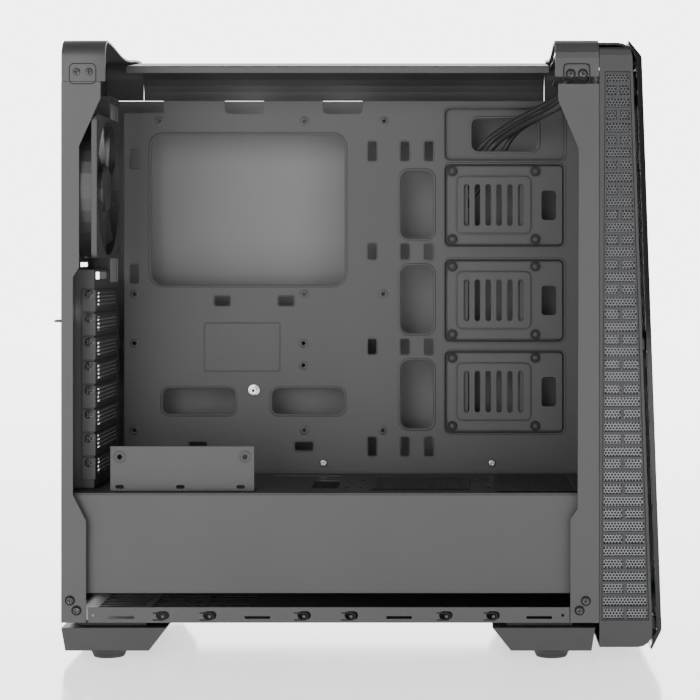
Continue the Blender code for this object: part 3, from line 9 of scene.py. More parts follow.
import bmesh
import bpy
import numpy as np
from bpy.props import FloatProperty, FloatVectorProperty, IntProperty, PointerProperty
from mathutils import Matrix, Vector


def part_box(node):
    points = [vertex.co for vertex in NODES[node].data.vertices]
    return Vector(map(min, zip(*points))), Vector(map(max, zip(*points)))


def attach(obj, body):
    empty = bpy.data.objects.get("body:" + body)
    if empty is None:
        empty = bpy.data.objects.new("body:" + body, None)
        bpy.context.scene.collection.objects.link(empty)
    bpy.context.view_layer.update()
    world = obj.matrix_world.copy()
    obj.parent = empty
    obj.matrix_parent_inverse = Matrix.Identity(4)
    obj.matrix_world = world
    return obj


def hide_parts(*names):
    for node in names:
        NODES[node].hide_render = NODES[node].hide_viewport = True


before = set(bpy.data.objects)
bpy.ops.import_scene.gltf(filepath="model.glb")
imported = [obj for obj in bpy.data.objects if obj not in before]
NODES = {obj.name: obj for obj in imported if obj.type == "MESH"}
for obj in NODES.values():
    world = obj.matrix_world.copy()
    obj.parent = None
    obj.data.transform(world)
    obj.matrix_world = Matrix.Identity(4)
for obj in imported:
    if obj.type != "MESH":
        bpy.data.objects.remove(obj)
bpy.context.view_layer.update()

bl_info = {
    "name": "Computer tower looks",
    "version": (1, 0, 0),
    "blender": (4, 5, 0),
    "location": "View3D > Sidebar > Tower",
    "description": "Finishes and small pieces for a desktop computer tower",
    "category": "Object",
}

TAU = 2 * math.pi


def low(node):
    return np.array(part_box(node)[0])


def high(node):
    return np.array(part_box(node)[1])


def middle(node):
    return (low(node) + high(node)) / 2


# Planes of the frame that the pieces are placed by.
REAR = low("rear_cap")[0]
LEFT = low("rear_post")[1]
TRAY_Y = low("motherboard_tray")[1]
TRAY_TOP = high("motherboard_tray")[2]
REAR_WALL = low("rear_panel")[0]
SHROUD_TOP = high("psu_shroud")[2]
CAP_BOTTOM = TRAY_TOP + 0.0074
SHEET = 0.001
LEFTWARD, REARWARD, UPWARD = (0, -1, 0), (-1, 0, 0), (0, 0, 1)


# Settings ------------------------------------------------------------------------------


def colour_setting(name, description, default):
    return FloatVectorProperty(
        name=name, description=description, default=default, subtype="COLOR", size=3, min=0, max=1
    )


def length_setting(name, description, default):
    return FloatProperty(
        name=name, description=description, default=default, unit="LENGTH", min=0, precision=5
    )


def share_setting(name, description, default):
    return FloatProperty(
        name=name, description=description, default=default, subtype="FACTOR", min=0, max=1
    )


class TowerFinishes(bpy.types.PropertyGroup):
    steel: colour_setting("Steel", "Powder coat on the sheet metal", (0.034, 0.034, 0.035))
    # Painted light: the inner face of the right side panel is coloured paler than the steel it is made of.
    inner_face_lightened: colour_setting("Inner face lightened", "Inner face of the right side panel", (0.13, 0.128, 0.130))
    steel_roughness: share_setting("Steel roughness", "How matte the powder coat is", 0.46)
    plastic: colour_setting("Plastic", "Matte mouldings", (0.017, 0.017, 0.018))
    plastic_roughness: share_setting("Plastic roughness", "How matte the mouldings are", 0.5)
    gloss: colour_setting("Gloss", "Polished front plate", (0.004, 0.004, 0.005))
    rubber: colour_setting("Rubber", "Foot pads and grommets", (0.018, 0.018, 0.018))
    screw: colour_setting("Screws", "Blackened screws", (0.06, 0.06, 0.064))
    mesh: colour_setting("Mesh", "Bare metal of the side meshes", (0.15, 0.15, 0.155))
    zinc: colour_setting("Zinc", "Bright screws and standoffs", (0.52, 0.52, 0.54))
    sheath: colour_setting("Cable sheath", "Port leads", (0.012, 0.012, 0.013))
    board: colour_setting("Board", "Lacquer of the port board", (0.008, 0.045, 0.02))


class TowerSizes(bpy.types.PropertyGroup):
    screw_radius: length_setting("Screw radius", "Head radius of the case screws", 0.0031)
    screw_height: length_setting("Screw height", "Head height of the case screws", 0.0019)
    mesh_pitch: length_setting("Mesh pitch", "From hole to hole in the side meshes", 0.0026)
    mesh_web: length_setting("Mesh web", "Metal between two holes of the side meshes", 0.0008)
    grille_pitch: length_setting("Grille pitch", "From hole to hole in the rear fan grille", 0.0056)
    grille_web: length_setting("Grille web", "Metal between two holes of the grille", 0.0011)
    rim_width: length_setting("Rim width", "Width of the pressed rims round cut-outs", 0.0022)
    rim_height: length_setting("Rim height", "Height of the pressed rims", 0.0006)
    blades: IntProperty(name="Fan blades", description="Blades on the rear fan", default=9, min=3, max=13)


def finishes():
    return bpy.context.scene.tower_finishes


def sizes():
    return bpy.context.scene.tower_sizes


# Shader maths --------------------------------------------------------------------------


class Wire:
    """A number in a material. Sums, products and powers of wires add their Math nodes."""

    def __init__(self, paint, socket):
        self.paint, self.socket = paint, socket

    def __add__(self, other):
        return self.paint.calc("ADD", self, other)

    __radd__ = __add__

    def __sub__(self, other):
        return self.paint.calc("SUBTRACT", self, other)

    def __rsub__(self, other):
        return self.paint.calc("SUBTRACT", other, self)

    def __mul__(self, other):
        return self.paint.calc("MULTIPLY", self, other)

    __rmul__ = __mul__

    def __truediv__(self, other):
        return self.paint.calc("DIVIDE", self, other)

    def __pow__(self, other):
        return self.paint.calc("POWER", self, other)

    def __lt__(self, other):
        return self.paint.calc("LESS_THAN", self, other)

    def __gt__(self, other):
        return self.paint.calc("GREATER_THAN", self, other)

    def fraction(self):
        return self.paint.calc("FRACT", self)

    def least(self, other):
        return self.paint.calc("MINIMUM", self, other)


class Nodes:
    """A node tree and the few ways that patterns are added to it."""

    def __init__(self, tree):
        self.tree = tree

    def add(self, kind, settings, sockets, output):
        """Adds a node, sets its settings first and then its sockets, and gives one of its outputs."""
        node = self.tree.nodes.new(kind)
        for name, value in settings.items():
            setattr(node, name, value)
        for name, value in sockets.items():
            self.feed(node.inputs[name], value)
        return Wire(self, node.outputs[output])

    def feed(self, socket, value):
        if isinstance(value, Wire):
            self.tree.links.new(value.socket, socket)
        else:
            socket.default_value = value

    def calc(self, operation, *values):
        return self.add("ShaderNodeMath", {"operation": operation}, dict(enumerate(values)), "Value")

    def place(self, scale=(1, 1, 1)):
        """Object coordinates, stretched by a scale along each axis."""
        spot = self.add("ShaderNodeTexCoord", {}, {}, "Object")
        if scale == (1, 1, 1):
            return spot
        return self.add("ShaderNodeMapping", {}, {"Vector": spot, "Scale": scale}, "Vector")

    def axis(self, name, spot=None):
        return self.add("ShaderNodeSeparateXYZ", {}, {"Vector": spot or self.place()}, name)

    def noise(self, scale, detail=2.0, stretch=(1, 1, 1)):
        sockets = {"Vector": self.place(stretch), "Scale": scale, "Detail": detail}
        return self.add("ShaderNodeTexNoise", {}, sockets, "Fac")

    def grains(self, scale, stretch=(1, 1, 1)):
        sockets = {"Vector": self.place(stretch), "Scale": scale}
        return self.add("ShaderNodeTexVoronoi", {"feature": "F1"}, sockets, "Distance")

    def spread(self, value, start, stop, low_value=0.0, high_value=1.0):
        """The value carried from start..stop to low..high, smoothly and held at both ends."""
        sockets = {"Value": value, "From Min": start, "From Max": stop}
        sockets |= {"To Min": low_value, "To Max": high_value}
        return self.add("ShaderNodeMapRange", {"interpolation_type": "SMOOTHSTEP"}, sockets, "Result")

    def blend(self, share, first, second):
        sockets = {0: share, 6: first, 7: second}
        return self.add("ShaderNodeMix", {"data_type": "RGBA"}, sockets, 2)

    def corners(self, reach):
        """Light that reaches a point from within the reach: low in corners and gaps."""
        node = self.add("ShaderNodeAmbientOcclusion", {"samples": 6}, {"Distance": reach}, "AO")
        return self.spread(node, 0.35, 0.95)

    def soft_edge(self, radius):
        return self.add("ShaderNodeBevel", {"samples": 4}, {"Radius": radius}, "Normal")

    def bump(self, height, distance, strength=1.0, normal=None):
        sockets = {"Height": height, "Distance": distance, "Strength": strength}
        if normal is not None:
            sockets["Normal"] = normal
        return self.add("ShaderNodeBump", {}, sockets, "Normal")


class Paint(Nodes):
    """One finish: a principled shader with constants on its sockets, and patterns linked to it."""

    def __init__(self, name, colour, roughness, metallic=0.0, **constants):
        self.material = bpy.data.materials.new(name)
        self.material.use_nodes = True
        super().__init__(self.material.node_tree)
        self.shader = self.tree.nodes["Principled BSDF"]
        values = {"Base_Color": (*colour, 1), "Roughness": roughness, "Metallic": metallic} | constants
        self.link(**values)

    def link(self, **patterns):
        """Sets or links sockets of the shader, and gives the material."""
        for socket, value in patterns.items():
            self.feed(self.shader.inputs[socket.replace("_", " ")], value)
        return self.material


def tinted(colour, share):
    """The colour made lighter by a share, for the worn or dusty end of a finish."""
    return (*(channel + (1 - channel) * share for channel in colour), 1)


def powder_coat(name, colour, roughness, edge=0.0005):
    """Pebbled powder coat: two sizes of grain in the bump, clouds in its sheen, darker in corners."""
    paint = Paint(name, colour, roughness, Specular_IOR_Level=0.5)
    clouds = paint.noise(9, 4)
    grain = paint.grains(1900) * 0.6 + paint.noise(900, 3) * 0.8
    speck = paint.spread(paint.noise(2600, 1), 0.62, 0.78)
    shade = paint.blend(clouds * 0.25 + speck * 0.10, (*colour, 1), tinted(colour, 0.035))
    # Painted shade: the colour falls to a quarter where ambient occlusion finds corners and gaps.
    corner_shade_colour = (*(channel * 0.25 for channel in colour), 1)
    return paint.link(
        Base_Color=paint.blend(paint.corners(0.004), corner_shade_colour, shade),
        Roughness=roughness - 0.06 + clouds * 0.12,
        Normal=paint.bump(grain, 0.00006, 0.35, paint.soft_edge(edge)),
    )


def side_sheet(name, colour, inner, roughness):
    """Powder-coated panel with paler primer inside, picked by a point's side of its middle."""
    paint = Paint(name, colour, roughness)
    clouds = paint.noise(7, 4)
    outer = paint.axis("Y") > high("right_side_panel")[1] - SHEET / 2
    shade = paint.blend(clouds * 0.3, (*inner, 1), tinted(inner, 0.05))
    return paint.link(
        Base_Color=paint.blend(outer, shade, (*colour, 1)),
        Roughness=roughness - 0.06 + clouds * 0.12,
        Normal=paint.bump(paint.grains(1900), 0.00006, 0.35, paint.soft_edge(0.0004)),
    )


def moulded(name, colour, roughness, grain_size=1300, edge=0.0007):
    """Spark-eroded matte plastic: close cells in the bump and slow flow marks in the gloss."""
    paint = Paint(name, colour, roughness)
    cells = paint.grains(grain_size)
    flow = paint.noise(14, 3, (1, 1, 0.3))
    return paint.link(
        Base_Color=paint.blend(flow * 0.4, (*colour, 1), tinted(colour, 0.02)),
        Roughness=roughness - 0.05 + flow * 0.12,
        Normal=paint.bump(cells, 0.00008, 0.4, paint.soft_edge(edge)),
    )


def polished(name, colour):
    """Polished black plate: very low roughness under a clear coat, with hair-thin haze."""
    coat_of = {"Coat_Weight": 0.1, "Coat_Roughness": 0.03, "Specular_IOR_Level": 0.25}
    paint = Paint(name, colour, 0.08, **coat_of)
    haze = paint.noise(60, 5)
    return paint.link(
        Roughness=0.05 + haze * 0.08,
        Normal=paint.bump(paint.noise(22, 1), 0.0002, 0.05, paint.soft_edge(0.0012)),
    )


def blackened(name, colour):
    """Black oxide screw steel, rubbed brighter where the driver touches it."""
    paint = Paint(name, colour, 0.36, 0.9)
    rub = paint.spread(paint.noise(700, 3), 0.5, 0.75)
    return paint.link(
        Base_Color=paint.blend(rub * 0.5, (*colour, 1), tinted(colour, 0.18)),
        Roughness=0.42 - rub * 0.12,
        Normal=paint.bump(paint.noise(1500, 2), 0.00004, 0.4),
    )


def plated(name, colour):
    """Zinc plate with fine turning marks and slow blue-grey clouds."""
    paint = Paint(name, colour, 0.28, 1.0)
    marks = paint.noise(260, 2, (14, 1, 1))
    clouds = paint.noise(120, 3)
    bluer = (colour[0] * 0.8, colour[1] * 0.84, colour[2] * 0.9, 1)
    return paint.link(
        Base_Color=paint.blend(clouds, (*colour, 1), bluer),
        Roughness=0.2 + marks * 0.2,
        Normal=paint.bump(marks, 0.00005, 0.4, paint.soft_edge(0.0002)),
    )


def rubbery(name, colour):
    """Dull rubber with a coarse skin and pale dust in its low spots."""
    paint = Paint(name, colour, 0.82)
    skin = paint.noise(420, 4)
    dust = paint.spread(paint.noise(38, 4), 0.55, 0.8)
    return paint.link(
        Base_Color=paint.blend(dust * 0.3, (*colour, 1), tinted(colour, 0.06)),
        Normal=paint.bump(skin, 0.0002, 0.4, paint.soft_edge(0.0008)),
    )


def woven_sheath(name, colour):
    """Cable sleeve: two sets of strands that cross, from the sheath's own along-and-round map."""
    paint = Paint(name, colour, 0.5)
    spot = paint.add("ShaderNodeUVMap", {"uv_map": "along"}, {}, "UV")
    along, around = paint.axis("X", spot), paint.axis("Y", spot)
    strands = 10
    first = ((along + around * strands).fraction() - 0.5) ** 2
    second = ((along - around * strands).fraction() - 0.5) ** 2
    weave = first.least(second) * 4
    return paint.link(
        Base_Color=paint.blend(weave, (*colour, 1), tinted(colour, 0.05)),
        Roughness=0.4 + weave * 0.3,
        Normal=paint.bump(1 - weave, 0.0003, 0.6),
    )


def lacquered_board(name, colour):
    """Solder-mask green with traces that run along one way, and small bright pads."""
    paint = Paint(name, colour, 0.3)
    lines = paint.spread(paint.noise(210, 0, (0.08, 1, 1)), 0.5, 0.54)
    pads = paint.grains(240) < 0.12
    traced = paint.blend(lines * 0.6, (*colour, 1), tinted(colour, 0.08))
    return paint.link(
        Base_Color=paint.blend(pads, traced, (0.5, 0.38, 0.14, 1)),
        Normal=paint.bump(lines, 0.00005, 0.4),
    )


def perforated(name, colour, roughness, pitch, hole_share):
    """Powder-coated sheet with round holes on a staggered lattice, cut by transparency.

    Each point's distance to the nearer of two offset square-root-of-three lattices is compared
    with the hole's radius. The holes keep to the middle of a cover, away from its fold."""
    paint = Paint(name, colour, roughness)
    across, up = paint.axis("Y") / pitch, paint.axis("Z") / (pitch * math.sqrt(3))
    first = ((across.fraction() - 0.5) ** 2) + ((up.fraction() - 0.5) ** 2) * 3
    second = (((across + 0.5).fraction() - 0.5) ** 2) + (((up + 0.5).fraction() - 0.5) ** 2) * 3
    edge = low("slot_cover_1")[1] + 0.012
    metal = (first.least(second) > hole_share**2) + (paint.axis("Y") < edge)
    grain = paint.noise(900, 3)
    return paint.link(
        Alpha=metal.least(1),
        Roughness=roughness - 0.05 + grain * 0.1,
        Normal=paint.bump(grain, 0.00005, 0.4, paint.soft_edge(0.0004)),
    )


def filter_cloth(name, colour):
    """Fine filter mesh: crossing threads as a grid in the bump, colour and gloss."""
    paint = Paint(name, colour, 0.6)
    pitch = 0.0011
    first = (((paint.axis("X") + paint.axis("Z")) / pitch).fraction() - 0.5) ** 2 * 4
    second = (((paint.axis("Y")) / pitch).fraction() - 0.5) ** 2 * 4
    holes = paint.spread(first.least(second), 0.1, 0.5)
    return paint.link(
        Base_Color=paint.blend(holes, tinted(colour, 0.05), (*colour, 1)),
        Roughness=0.5 + holes * 0.3,
        Normal=paint.bump(holes, 0.0002, 0.5),
    )


def glowing(name, colour):
    """A dim diffuser that catches light at its rim, with no lamp lit behind it."""
    paint = Paint(name, colour, 0.25)
    return paint.link(Roughness=0.2 + paint.noise(900, 2) * 0.15)


COVER_PITCH = 0.0038
COVER_HOLE = 0.33  # radius of a hole, as a share of the pitch

FINISHES = {}


def finish(name):
    """The named finish, made on its first use from the panel's settings."""
    settings = finishes()
    matte_steel = settings.steel_roughness + 0.04
    makers = {
        "steel": lambda: powder_coat("powder_coat", settings.steel, settings.steel_roughness),
        "inner_steel": lambda: powder_coat("powder_coat_inner", settings.steel, matte_steel),
        "cover": lambda: perforated("perforated_cover", settings.steel, 0.45, COVER_PITCH, COVER_HOLE),
        "mesh": lambda: plated("mesh_metal", settings.mesh),
        "side": lambda: side_sheet("side_panel_coat_lit_inside", settings.steel, settings.inner_face_lightened, 0.5),
        "felt": lambda: filter_cloth("nylon_screen", (0.004, 0.004, 0.004)),
        "plastic": lambda: moulded("matte_moulding", settings.plastic, settings.plastic_roughness),
        "fan": lambda: moulded("fan_moulding", settings.plastic, 0.42, 900, 0.0004),
        "gloss": lambda: polished("polished_plate", settings.gloss),
        "rubber": lambda: rubbery("rubber", settings.rubber),
        "screw": lambda: blackened("black_oxide", settings.screw),
        "zinc": lambda: plated("zinc_plate", settings.zinc),
        "sheath": lambda: woven_sheath("cable_sleeve", settings.sheath),
        "socket": lambda: moulded("socket_moulding", (0.01, 0.011, 0.014), 0.35, 2200, 0.0002),
        "contact": lambda: plated("gold_contacts", (0.75, 0.55, 0.22)),
        "board": lambda: lacquered_board("port_board", settings.board),
        "cloth": lambda: filter_cloth("filter_mesh", settings.plastic),
        "dark": lambda: moulded("shadow_gap", (0.004, 0.004, 0.004), 0.9, 400),
        "ring": lambda: glowing("button_ring", (0.2, 0.2, 0.21)),
    }
    if name not in FINISHES:
        FINISHES[name] = makers[name]()
    return FINISHES[name]


def coat(name, *nodes):
    """Gives frame nodes a finish through their material slots."""
    for node in nodes:
        for slot in NODES[node].material_slots:
            slot.material = finish(name)


# Surfaces ------------------------------------------------------------------------------


def grid(points, wrap_rows=False, wrap_columns=False):
    """Quads between neighbours in a grid of points, closing it on itself where it wraps."""
    rows, columns = points.shape[:2]
    index = np.arange(rows * columns).reshape(rows, columns)
    down = np.roll(index, -1, 0)[: rows if wrap_rows else rows - 1]
    here = index[: len(down)]
    if wrap_columns:
        near, far = here, down
        near_next, far_next = np.roll(here, -1, 1), np.roll(down, -1, 1)
    else:
        near, far = here[:, :-1], down[:, :-1]
        near_next, far_next = here[:, 1:], down[:, 1:]
    faces = np.stack([near, far, far_next, near_next], -1).reshape(-1, 4)
    return points.reshape(-1, 3), faces


def outward(patch):
    """The patch with its faces turned outwards: a sum of tetrahedra gives its signed volume."""
    points, faces = patch
    a, b, c, d = (points[faces[:, k]] for k in range(4))
    volume = np.einsum("ij,ij->", a, np.cross(b, c)) + np.einsum("ij,ij->", a, np.cross(c, d))
    return (points, faces[:, ::-1]) if volume < 0 else patch


def merged(patches):
    points, faces, start = [], [], 0
    for patch_points, patch_faces in patches:
        points.append(patch_points)
        faces.append(patch_faces + start)
        start += len(patch_points)
    return np.concatenate(points), np.concatenate(faces)


SAME_POINT = 2e-6


def piece(name, patches, finish_name, body, angle=35, uv=None, wall=0.0):
    """One object from surface patches: doubles merged, loose edges dropped, smooth by angle.

    A wall thickens an open surface inwards."""
    points, faces = merged(patches)
    mesh = bpy.data.meshes.new(name)
    mesh.vertices.add(len(points))
    mesh.vertices.foreach_set("co", points.astype(np.float32).ravel())
    mesh.loops.add(faces.size)
    mesh.loops.foreach_set("vertex_index", faces.astype(np.int32).ravel())
    mesh.polygons.add(len(faces))
    mesh.polygons.foreach_set("loop_start", np.arange(0, faces.size, 4, dtype=np.int32))
    mesh.polygons.foreach_set("loop_total", np.full(len(faces), 4, dtype=np.int32))
    mesh.update(calc_edges=True)
    if uv is not None:
        layer = mesh.uv_layers.new(name="along")
        layer.data.foreach_set("uv", uv[faces.ravel()].astype(np.float32).ravel())
    bm = bmesh.new()
    bm.from_mesh(mesh)
    bmesh.ops.remove_doubles(bm, verts=bm.verts, dist=SAME_POINT)
    bmesh.ops.delete(bm, geom=[edge for edge in bm.edges if not edge.link_faces], context="EDGES")
    bmesh.ops.delete(bm, geom=[vert for vert in bm.verts if not vert.link_edges], context="VERTS")
    bm.to_mesh(mesh)
    bm.free()
    mesh.polygons.foreach_set("use_smooth", np.ones(len(mesh.polygons), dtype=bool))
    mesh.set_sharp_from_angle(angle=math.radians(angle))
    mesh.materials.append(finish(finish_name))
    obj = bpy.data.objects.new(name, mesh)
    bpy.context.scene.collection.objects.link(obj)
    if wall:
        solid = obj.modifiers.new("wall", "SOLIDIFY")
        solid.thickness, solid.offset, solid.use_even_offset = wall, -1, True
    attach(obj, body)
    return obj


def turned(points, axis, centre):
    """Points drawn round local +Z, set so that +Z points along the axis from the centre."""
    axis = np.array(axis, float)
    helper = np.array([0, 0, 1.0]) if abs(axis[2]) < 0.9 else np.array([1.0, 0, 0])
    side = np.cross(helper, axis)
    side /= np.linalg.norm(side)
    up = np.cross(axis, side)
    frame_of = np.stack([side, up, axis])
    return points @ frame_of + np.array(centre)


def revolved(profile, sides, axis, centre, shape=None):
    """A profile of (radius, height) carried round its axis: x = r cos, y = r sin.

    shape(x, y, z) may move the heights, as for a driver's recess, before it is placed."""
    profile = np.array(profile, float)
    angle = np.linspace(0, TAU, sides, endpoint=False)
    radius, height = profile[:, :1], np.repeat(profile[:, 1:], sides, 1)
    x, y = radius * np.cos(angle), radius * np.sin(angle)
    z = height if shape is None else shape(x, y, height)
    return outward(grid(turned(np.stack([x, y, z], -1), axis, centre), wrap_columns=True))


def carried(path, profile, up, closed=False):
    """A closed profile of (side, up) carried along a path, square to its direction.

    Open ends are drawn in to the path's own end points, so the sweep is closed."""
    path, profile = np.array(path, float), np.array(profile, float)
    if closed:
        ahead, behind = np.roll(path, -1, 0), np.roll(path, 1, 0)
    else:
        ahead = np.concatenate([path[1:], path[-1:]])
        behind = np.concatenate([path[:1], path[:-1]])
    along = ahead - behind
    along /= np.linalg.norm(along, axis=1, keepdims=True)
    side = np.cross(along, np.broadcast_to(np.array(up, float), along.shape))
    side /= np.linalg.norm(side, axis=1, keepdims=True)
    over = np.cross(side, along)
    rings = path[:, None] + side[:, None] * profile[None, :, :1] + over[:, None] * profile[None, :, 1:]
    if not closed:
        first = np.repeat(path[:1, None], len(profile), 1)
        last = np.repeat(path[-1:, None], len(profile), 1)
        rings = np.concatenate([first, rings, last])
    return outward(grid(rings, wrap_rows=closed, wrap_columns=True))


def circle(radius, sides=12):
    angle = np.linspace(0, TAU, sides, endpoint=False)
    return np.stack([np.cos(angle), np.sin(angle)], 1) * radius


def rim_profile(width, height):
    """A low half-round bead: flat underside and an arched top."""
    angle = np.linspace(0, math.pi, 7)
    arch = np.stack([np.cos(angle) * width / 2, np.sin(angle) * height], 1)
    return np.concatenate([arch, [[-width / 2, -height / 3], [width / 2, -height / 3]]])


def rounded_loop(low_u, low_v, high_u, high_v, radius, steps=8):
    """A closed rectangle whose corners are quarter circles."""
    angle = np.linspace(0, math.pi / 2, steps)
    corners = []
    centres = [
        (high_u - radius, high_v - radius),
        (low_u + radius, high_v - radius),
        (low_u + radius, low_v + radius),
        (high_u - radius, low_v + radius),
    ]
    for quarter, (u, v) in enumerate(centres):
        turn = angle + quarter * math.pi / 2
        corners.append(np.stack([u + radius * np.cos(turn), v + radius * np.sin(turn)], 1))
    return np.concatenate(corners)


def softened_box(low_corner, high_corner, radius, steps=4):
    """A box with round edges: a rounded rectangle that draws in at both ends by an arc."""
    low_corner, high_corner = np.array(low_corner, float), np.array(high_corner, float)
    angle = np.linspace(0, math.pi / 2, steps)
    inset, depth = radius * (1 - np.sin(angle)), radius * (1 - np.cos(angle))
    levels = np.concatenate([low_corner[2] + depth, high_corner[2] - depth[::-1]])
    insets = np.concatenate([inset, inset[::-1]])
    rings = []
    for level, pull in zip(levels, insets):
        loop = rounded_loop(
            low_corner[0] + pull,
            low_corner[1] + pull,
            high_corner[0] - pull,
            high_corner[1] - pull,
            max(radius - pull, radius * 0.05),
            steps,
        )
        rings.append(np.column_stack([loop, np.full(len(loop), level)]))
    centre = (low_corner + high_corner) / 2
    first = np.repeat([[centre[0], centre[1], low_corner[2]]], len(rings[0]), 0)
    last = np.repeat([[centre[0], centre[1], high_corner[2]]], len(rings[0]), 0)
    return outward(grid(np.stack([first, *rings, last]), wrap_columns=True))


def pierced(outer, inner, thickness, place):
    """A sheet of cells: each is a ring from its outer loop to its hole, and down through the sheet.

    outer and inner are arrays of loops, with as many points each. place(flat, level) sets them."""
    half = thickness / 2
    layers = [(outer, half), (inner, half), (inner, -half), (outer, -half)]
    stacked = np.stack([place(flat, level) for flat, level in layers], 1)
    cells, _, sides, _ = stacked.shape
    index = np.arange(cells * 4 * sides).reshape(cells, 4, sides)
    near, far = index[:, :-1], index[:, 1:]
    faces = np.stack([near, far, np.roll(far, -1, 2), np.roll(near, -1, 2)], -1).reshape(-1, 4)
    points = stacked.reshape(-1, 3)
    first = points[faces[0]]
    front = place(inner[:1, :1], half)[0, 0] - place(inner[:1, :1], -half)[0, 0]
    normal = np.cross(first[1] - first[0], first[3] - first[0])
    return points, faces[:, ::-1] if normal @ front < 0 else faces


def honeycomb(clamp, bounds, pitch, web, thickness, place):
    """A sheet of hexagonal holes on a staggered lattice, inside any region.

    clamp(points) moves points to the region's edge; a cell that it moves has no hole."""
    (low_u, low_v), (high_u, high_v) = bounds
    row = pitch * math.sqrt(3) / 2
    v, u = np.mgrid[low_v : high_v + row : row, low_u : high_u + pitch : pitch]
    u = u + (np.arange(len(u)) % 2)[:, None] * pitch / 2
    centres = np.stack([u.ravel(), v.ravel()], 1)
    angle = np.arange(6) * math.pi / 3 + math.pi / 6
    ring = np.stack([np.cos(angle), np.sin(angle)], 1) / math.sqrt(3)
    outer = centres[:, None] + ring * pitch
    kept = np.isclose(clamp(outer), outer).all(-1).any(1)
    centres, outer = centres[kept], outer[kept]
    inner = centres[:, None] + ring * (pitch - web)
    whole = np.isclose(clamp(inner), inner).all((1, 2))
    outer = clamp(outer)
    inner = np.where(whole[:, None, None], inner, outer.mean(1, keepdims=True))
    return pierced(outer, inner, thickness, place)


def smooth_route(points, spacing):
    """A Catmull-Rom curve (a cubic through four neighbours), sampled at even steps of its length."""
    points = np.array(points, float)
    knots = np.concatenate([[2 * points[0] - points[1]], points, [2 * points[-1] - points[-2]]])
    t = np.linspace(0, 1, 24, endpoint=False)[:, None]
    a, b, c, d = (knots[k : k + len(points) - 1, None] for k in range(4))
    square, cube = 2 * a - 5 * b + 4 * c - d, 3 * b - a - 3 * c + d
    fine = 0.5 * (2 * b + (c - a) * t + square * t**2 + cube * t**3)
    fine = np.concatenate([fine.reshape(-1, 3), points[-1:]])
    length = np.concatenate([[0], np.cumsum(np.linalg.norm(np.diff(fine, axis=0), axis=1))])
    even = np.linspace(0, length[-1], max(int(length[-1] / spacing), 2))
    return np.stack([np.interp(even, length, fine[:, k]) for k in range(3)], 1)


# Screws --------------------------------------------------------------------------------


def pan_head(radius, height, centre, axis):
    """A pan head with a cross recess: the recess is the overlap of two narrow bars near the middle."""
    steps = np.linspace(0, math.pi / 2, 6)
    crown = [(radius * share, height) for share in (0, 0.1, 0.2, 0.3, 0.4, 0.5, 0.6)]
    edge = radius * 0.38
    crown += [(radius - edge + edge * math.sin(s), height - edge + edge * math.cos(s)) for s in steps]
    profile = crown + [(radius, 0.0), (0.0, 0.0)]

    def recess(x, y, z):
        narrow = np.minimum(np.abs(x), np.abs(y))
        reach = np.maximum(np.abs(x), np.abs(y))
        share = np.clip((radius * 0.17 - narrow) / (radius * 0.07), 0, 1)
        share *= np.clip((radius * 0.62 - reach) / (radius * 0.12), 0, 1)
        return np.where(z > height * 0.9, z - share * height * 0.55, z)

    return revolved(profile, 32, axis, centre, recess)


def washer_head(radius, height, centre, axis):
    """A hexagonal washer head: a round flange, then six flats with a cross recess on top."""
    flange = [(0, 0), (1, 0), (1, 0.25), (0.8, 0.4), (0, 0.4)]
    flange = [(radius * across, height * up) for across, up in flange]
    angle = np.linspace(0, TAU, 36, endpoint=False)
    half_flat = math.pi / 6
    flats = np.cos(half_flat) / np.cos((angle + half_flat) % (2 * half_flat) - half_flat)
    profile = [(share, 1) for share in (0, 0.15, 0.3, 0.45, 0.66)]
    profile = np.array(profile + [(0.72, 0.92), (0.72, 0.2), (0, 0.2)])
    size = profile[:, :1] * radius
    reach = np.where(profile[:, :1] > 0.5, flats, 1.0)
    x, y = size * reach * np.cos(angle), size * reach * np.sin(angle)
    z = np.repeat(profile[:, 1:] * height, len(angle), 1)
    cross = np.minimum(np.abs(x), np.abs(y)) < radius * 0.12
    z = np.where(cross & (z > height * 0.9) & (size < radius * 0.5), z - height * 0.45, z)
    cap = outward(grid(turned(np.stack([x, y, z], -1), axis, centre), wrap_columns=True))
    return [revolved(flange, 36, axis, centre), cap]


FAN_HOLE = 0.0525  # from the fan's middle to its holes, each way
BRACKET_HOLE = (0.0525, 0.009)  # from the bracket's middle, and below its top
POST_SCREWS = ((0.0074, 0.0491), (0.0128, 0.0408))
FRONT_POST_SCREWS = ((0.0110, 0.0487), (0.0162, 0.0408))
TRAY_SCREW_DOWN = 0.3290
TRAY_SCREWS = (0.1810, 0.3341)


def screw_places():
    """Where pan heads sit on the chassis, as (centre, outward axis)."""
    front_post, front_cap = high("front_post")[0], low("front_cap")[0]
    left = [(REAR + x, LEFT, z) for x, z in POST_SCREWS]
    left += [(front_post - x, LEFT, z) for x, z in FRONT_POST_SCREWS]
    pocket, screw_z = LEFT + 0.0009, CAP_BOTTOM + 0.0040
    left += [(REAR + x, pocket, screw_z) for x in (0.0128, 0.0232)]
    left += [(front_cap + x, pocket, screw_z - 0.0016) for x in (0.0129, 0.0230)]
    _, fan_y, fan_z = middle("rear_fan_frame")
    sides = (-FAN_HOLE, FAN_HOLE)
    back = [(REAR_WALL, fan_y + across, fan_z + up) for across in sides for up in sides]
    back += [(REAR_WALL, y, z) for y in (-0.0960, 0.0560) for z in (0.0460, 0.1100)]
    return [(spot, LEFTWARD) for spot in left] + [(spot, REARWARD) for spot in back]


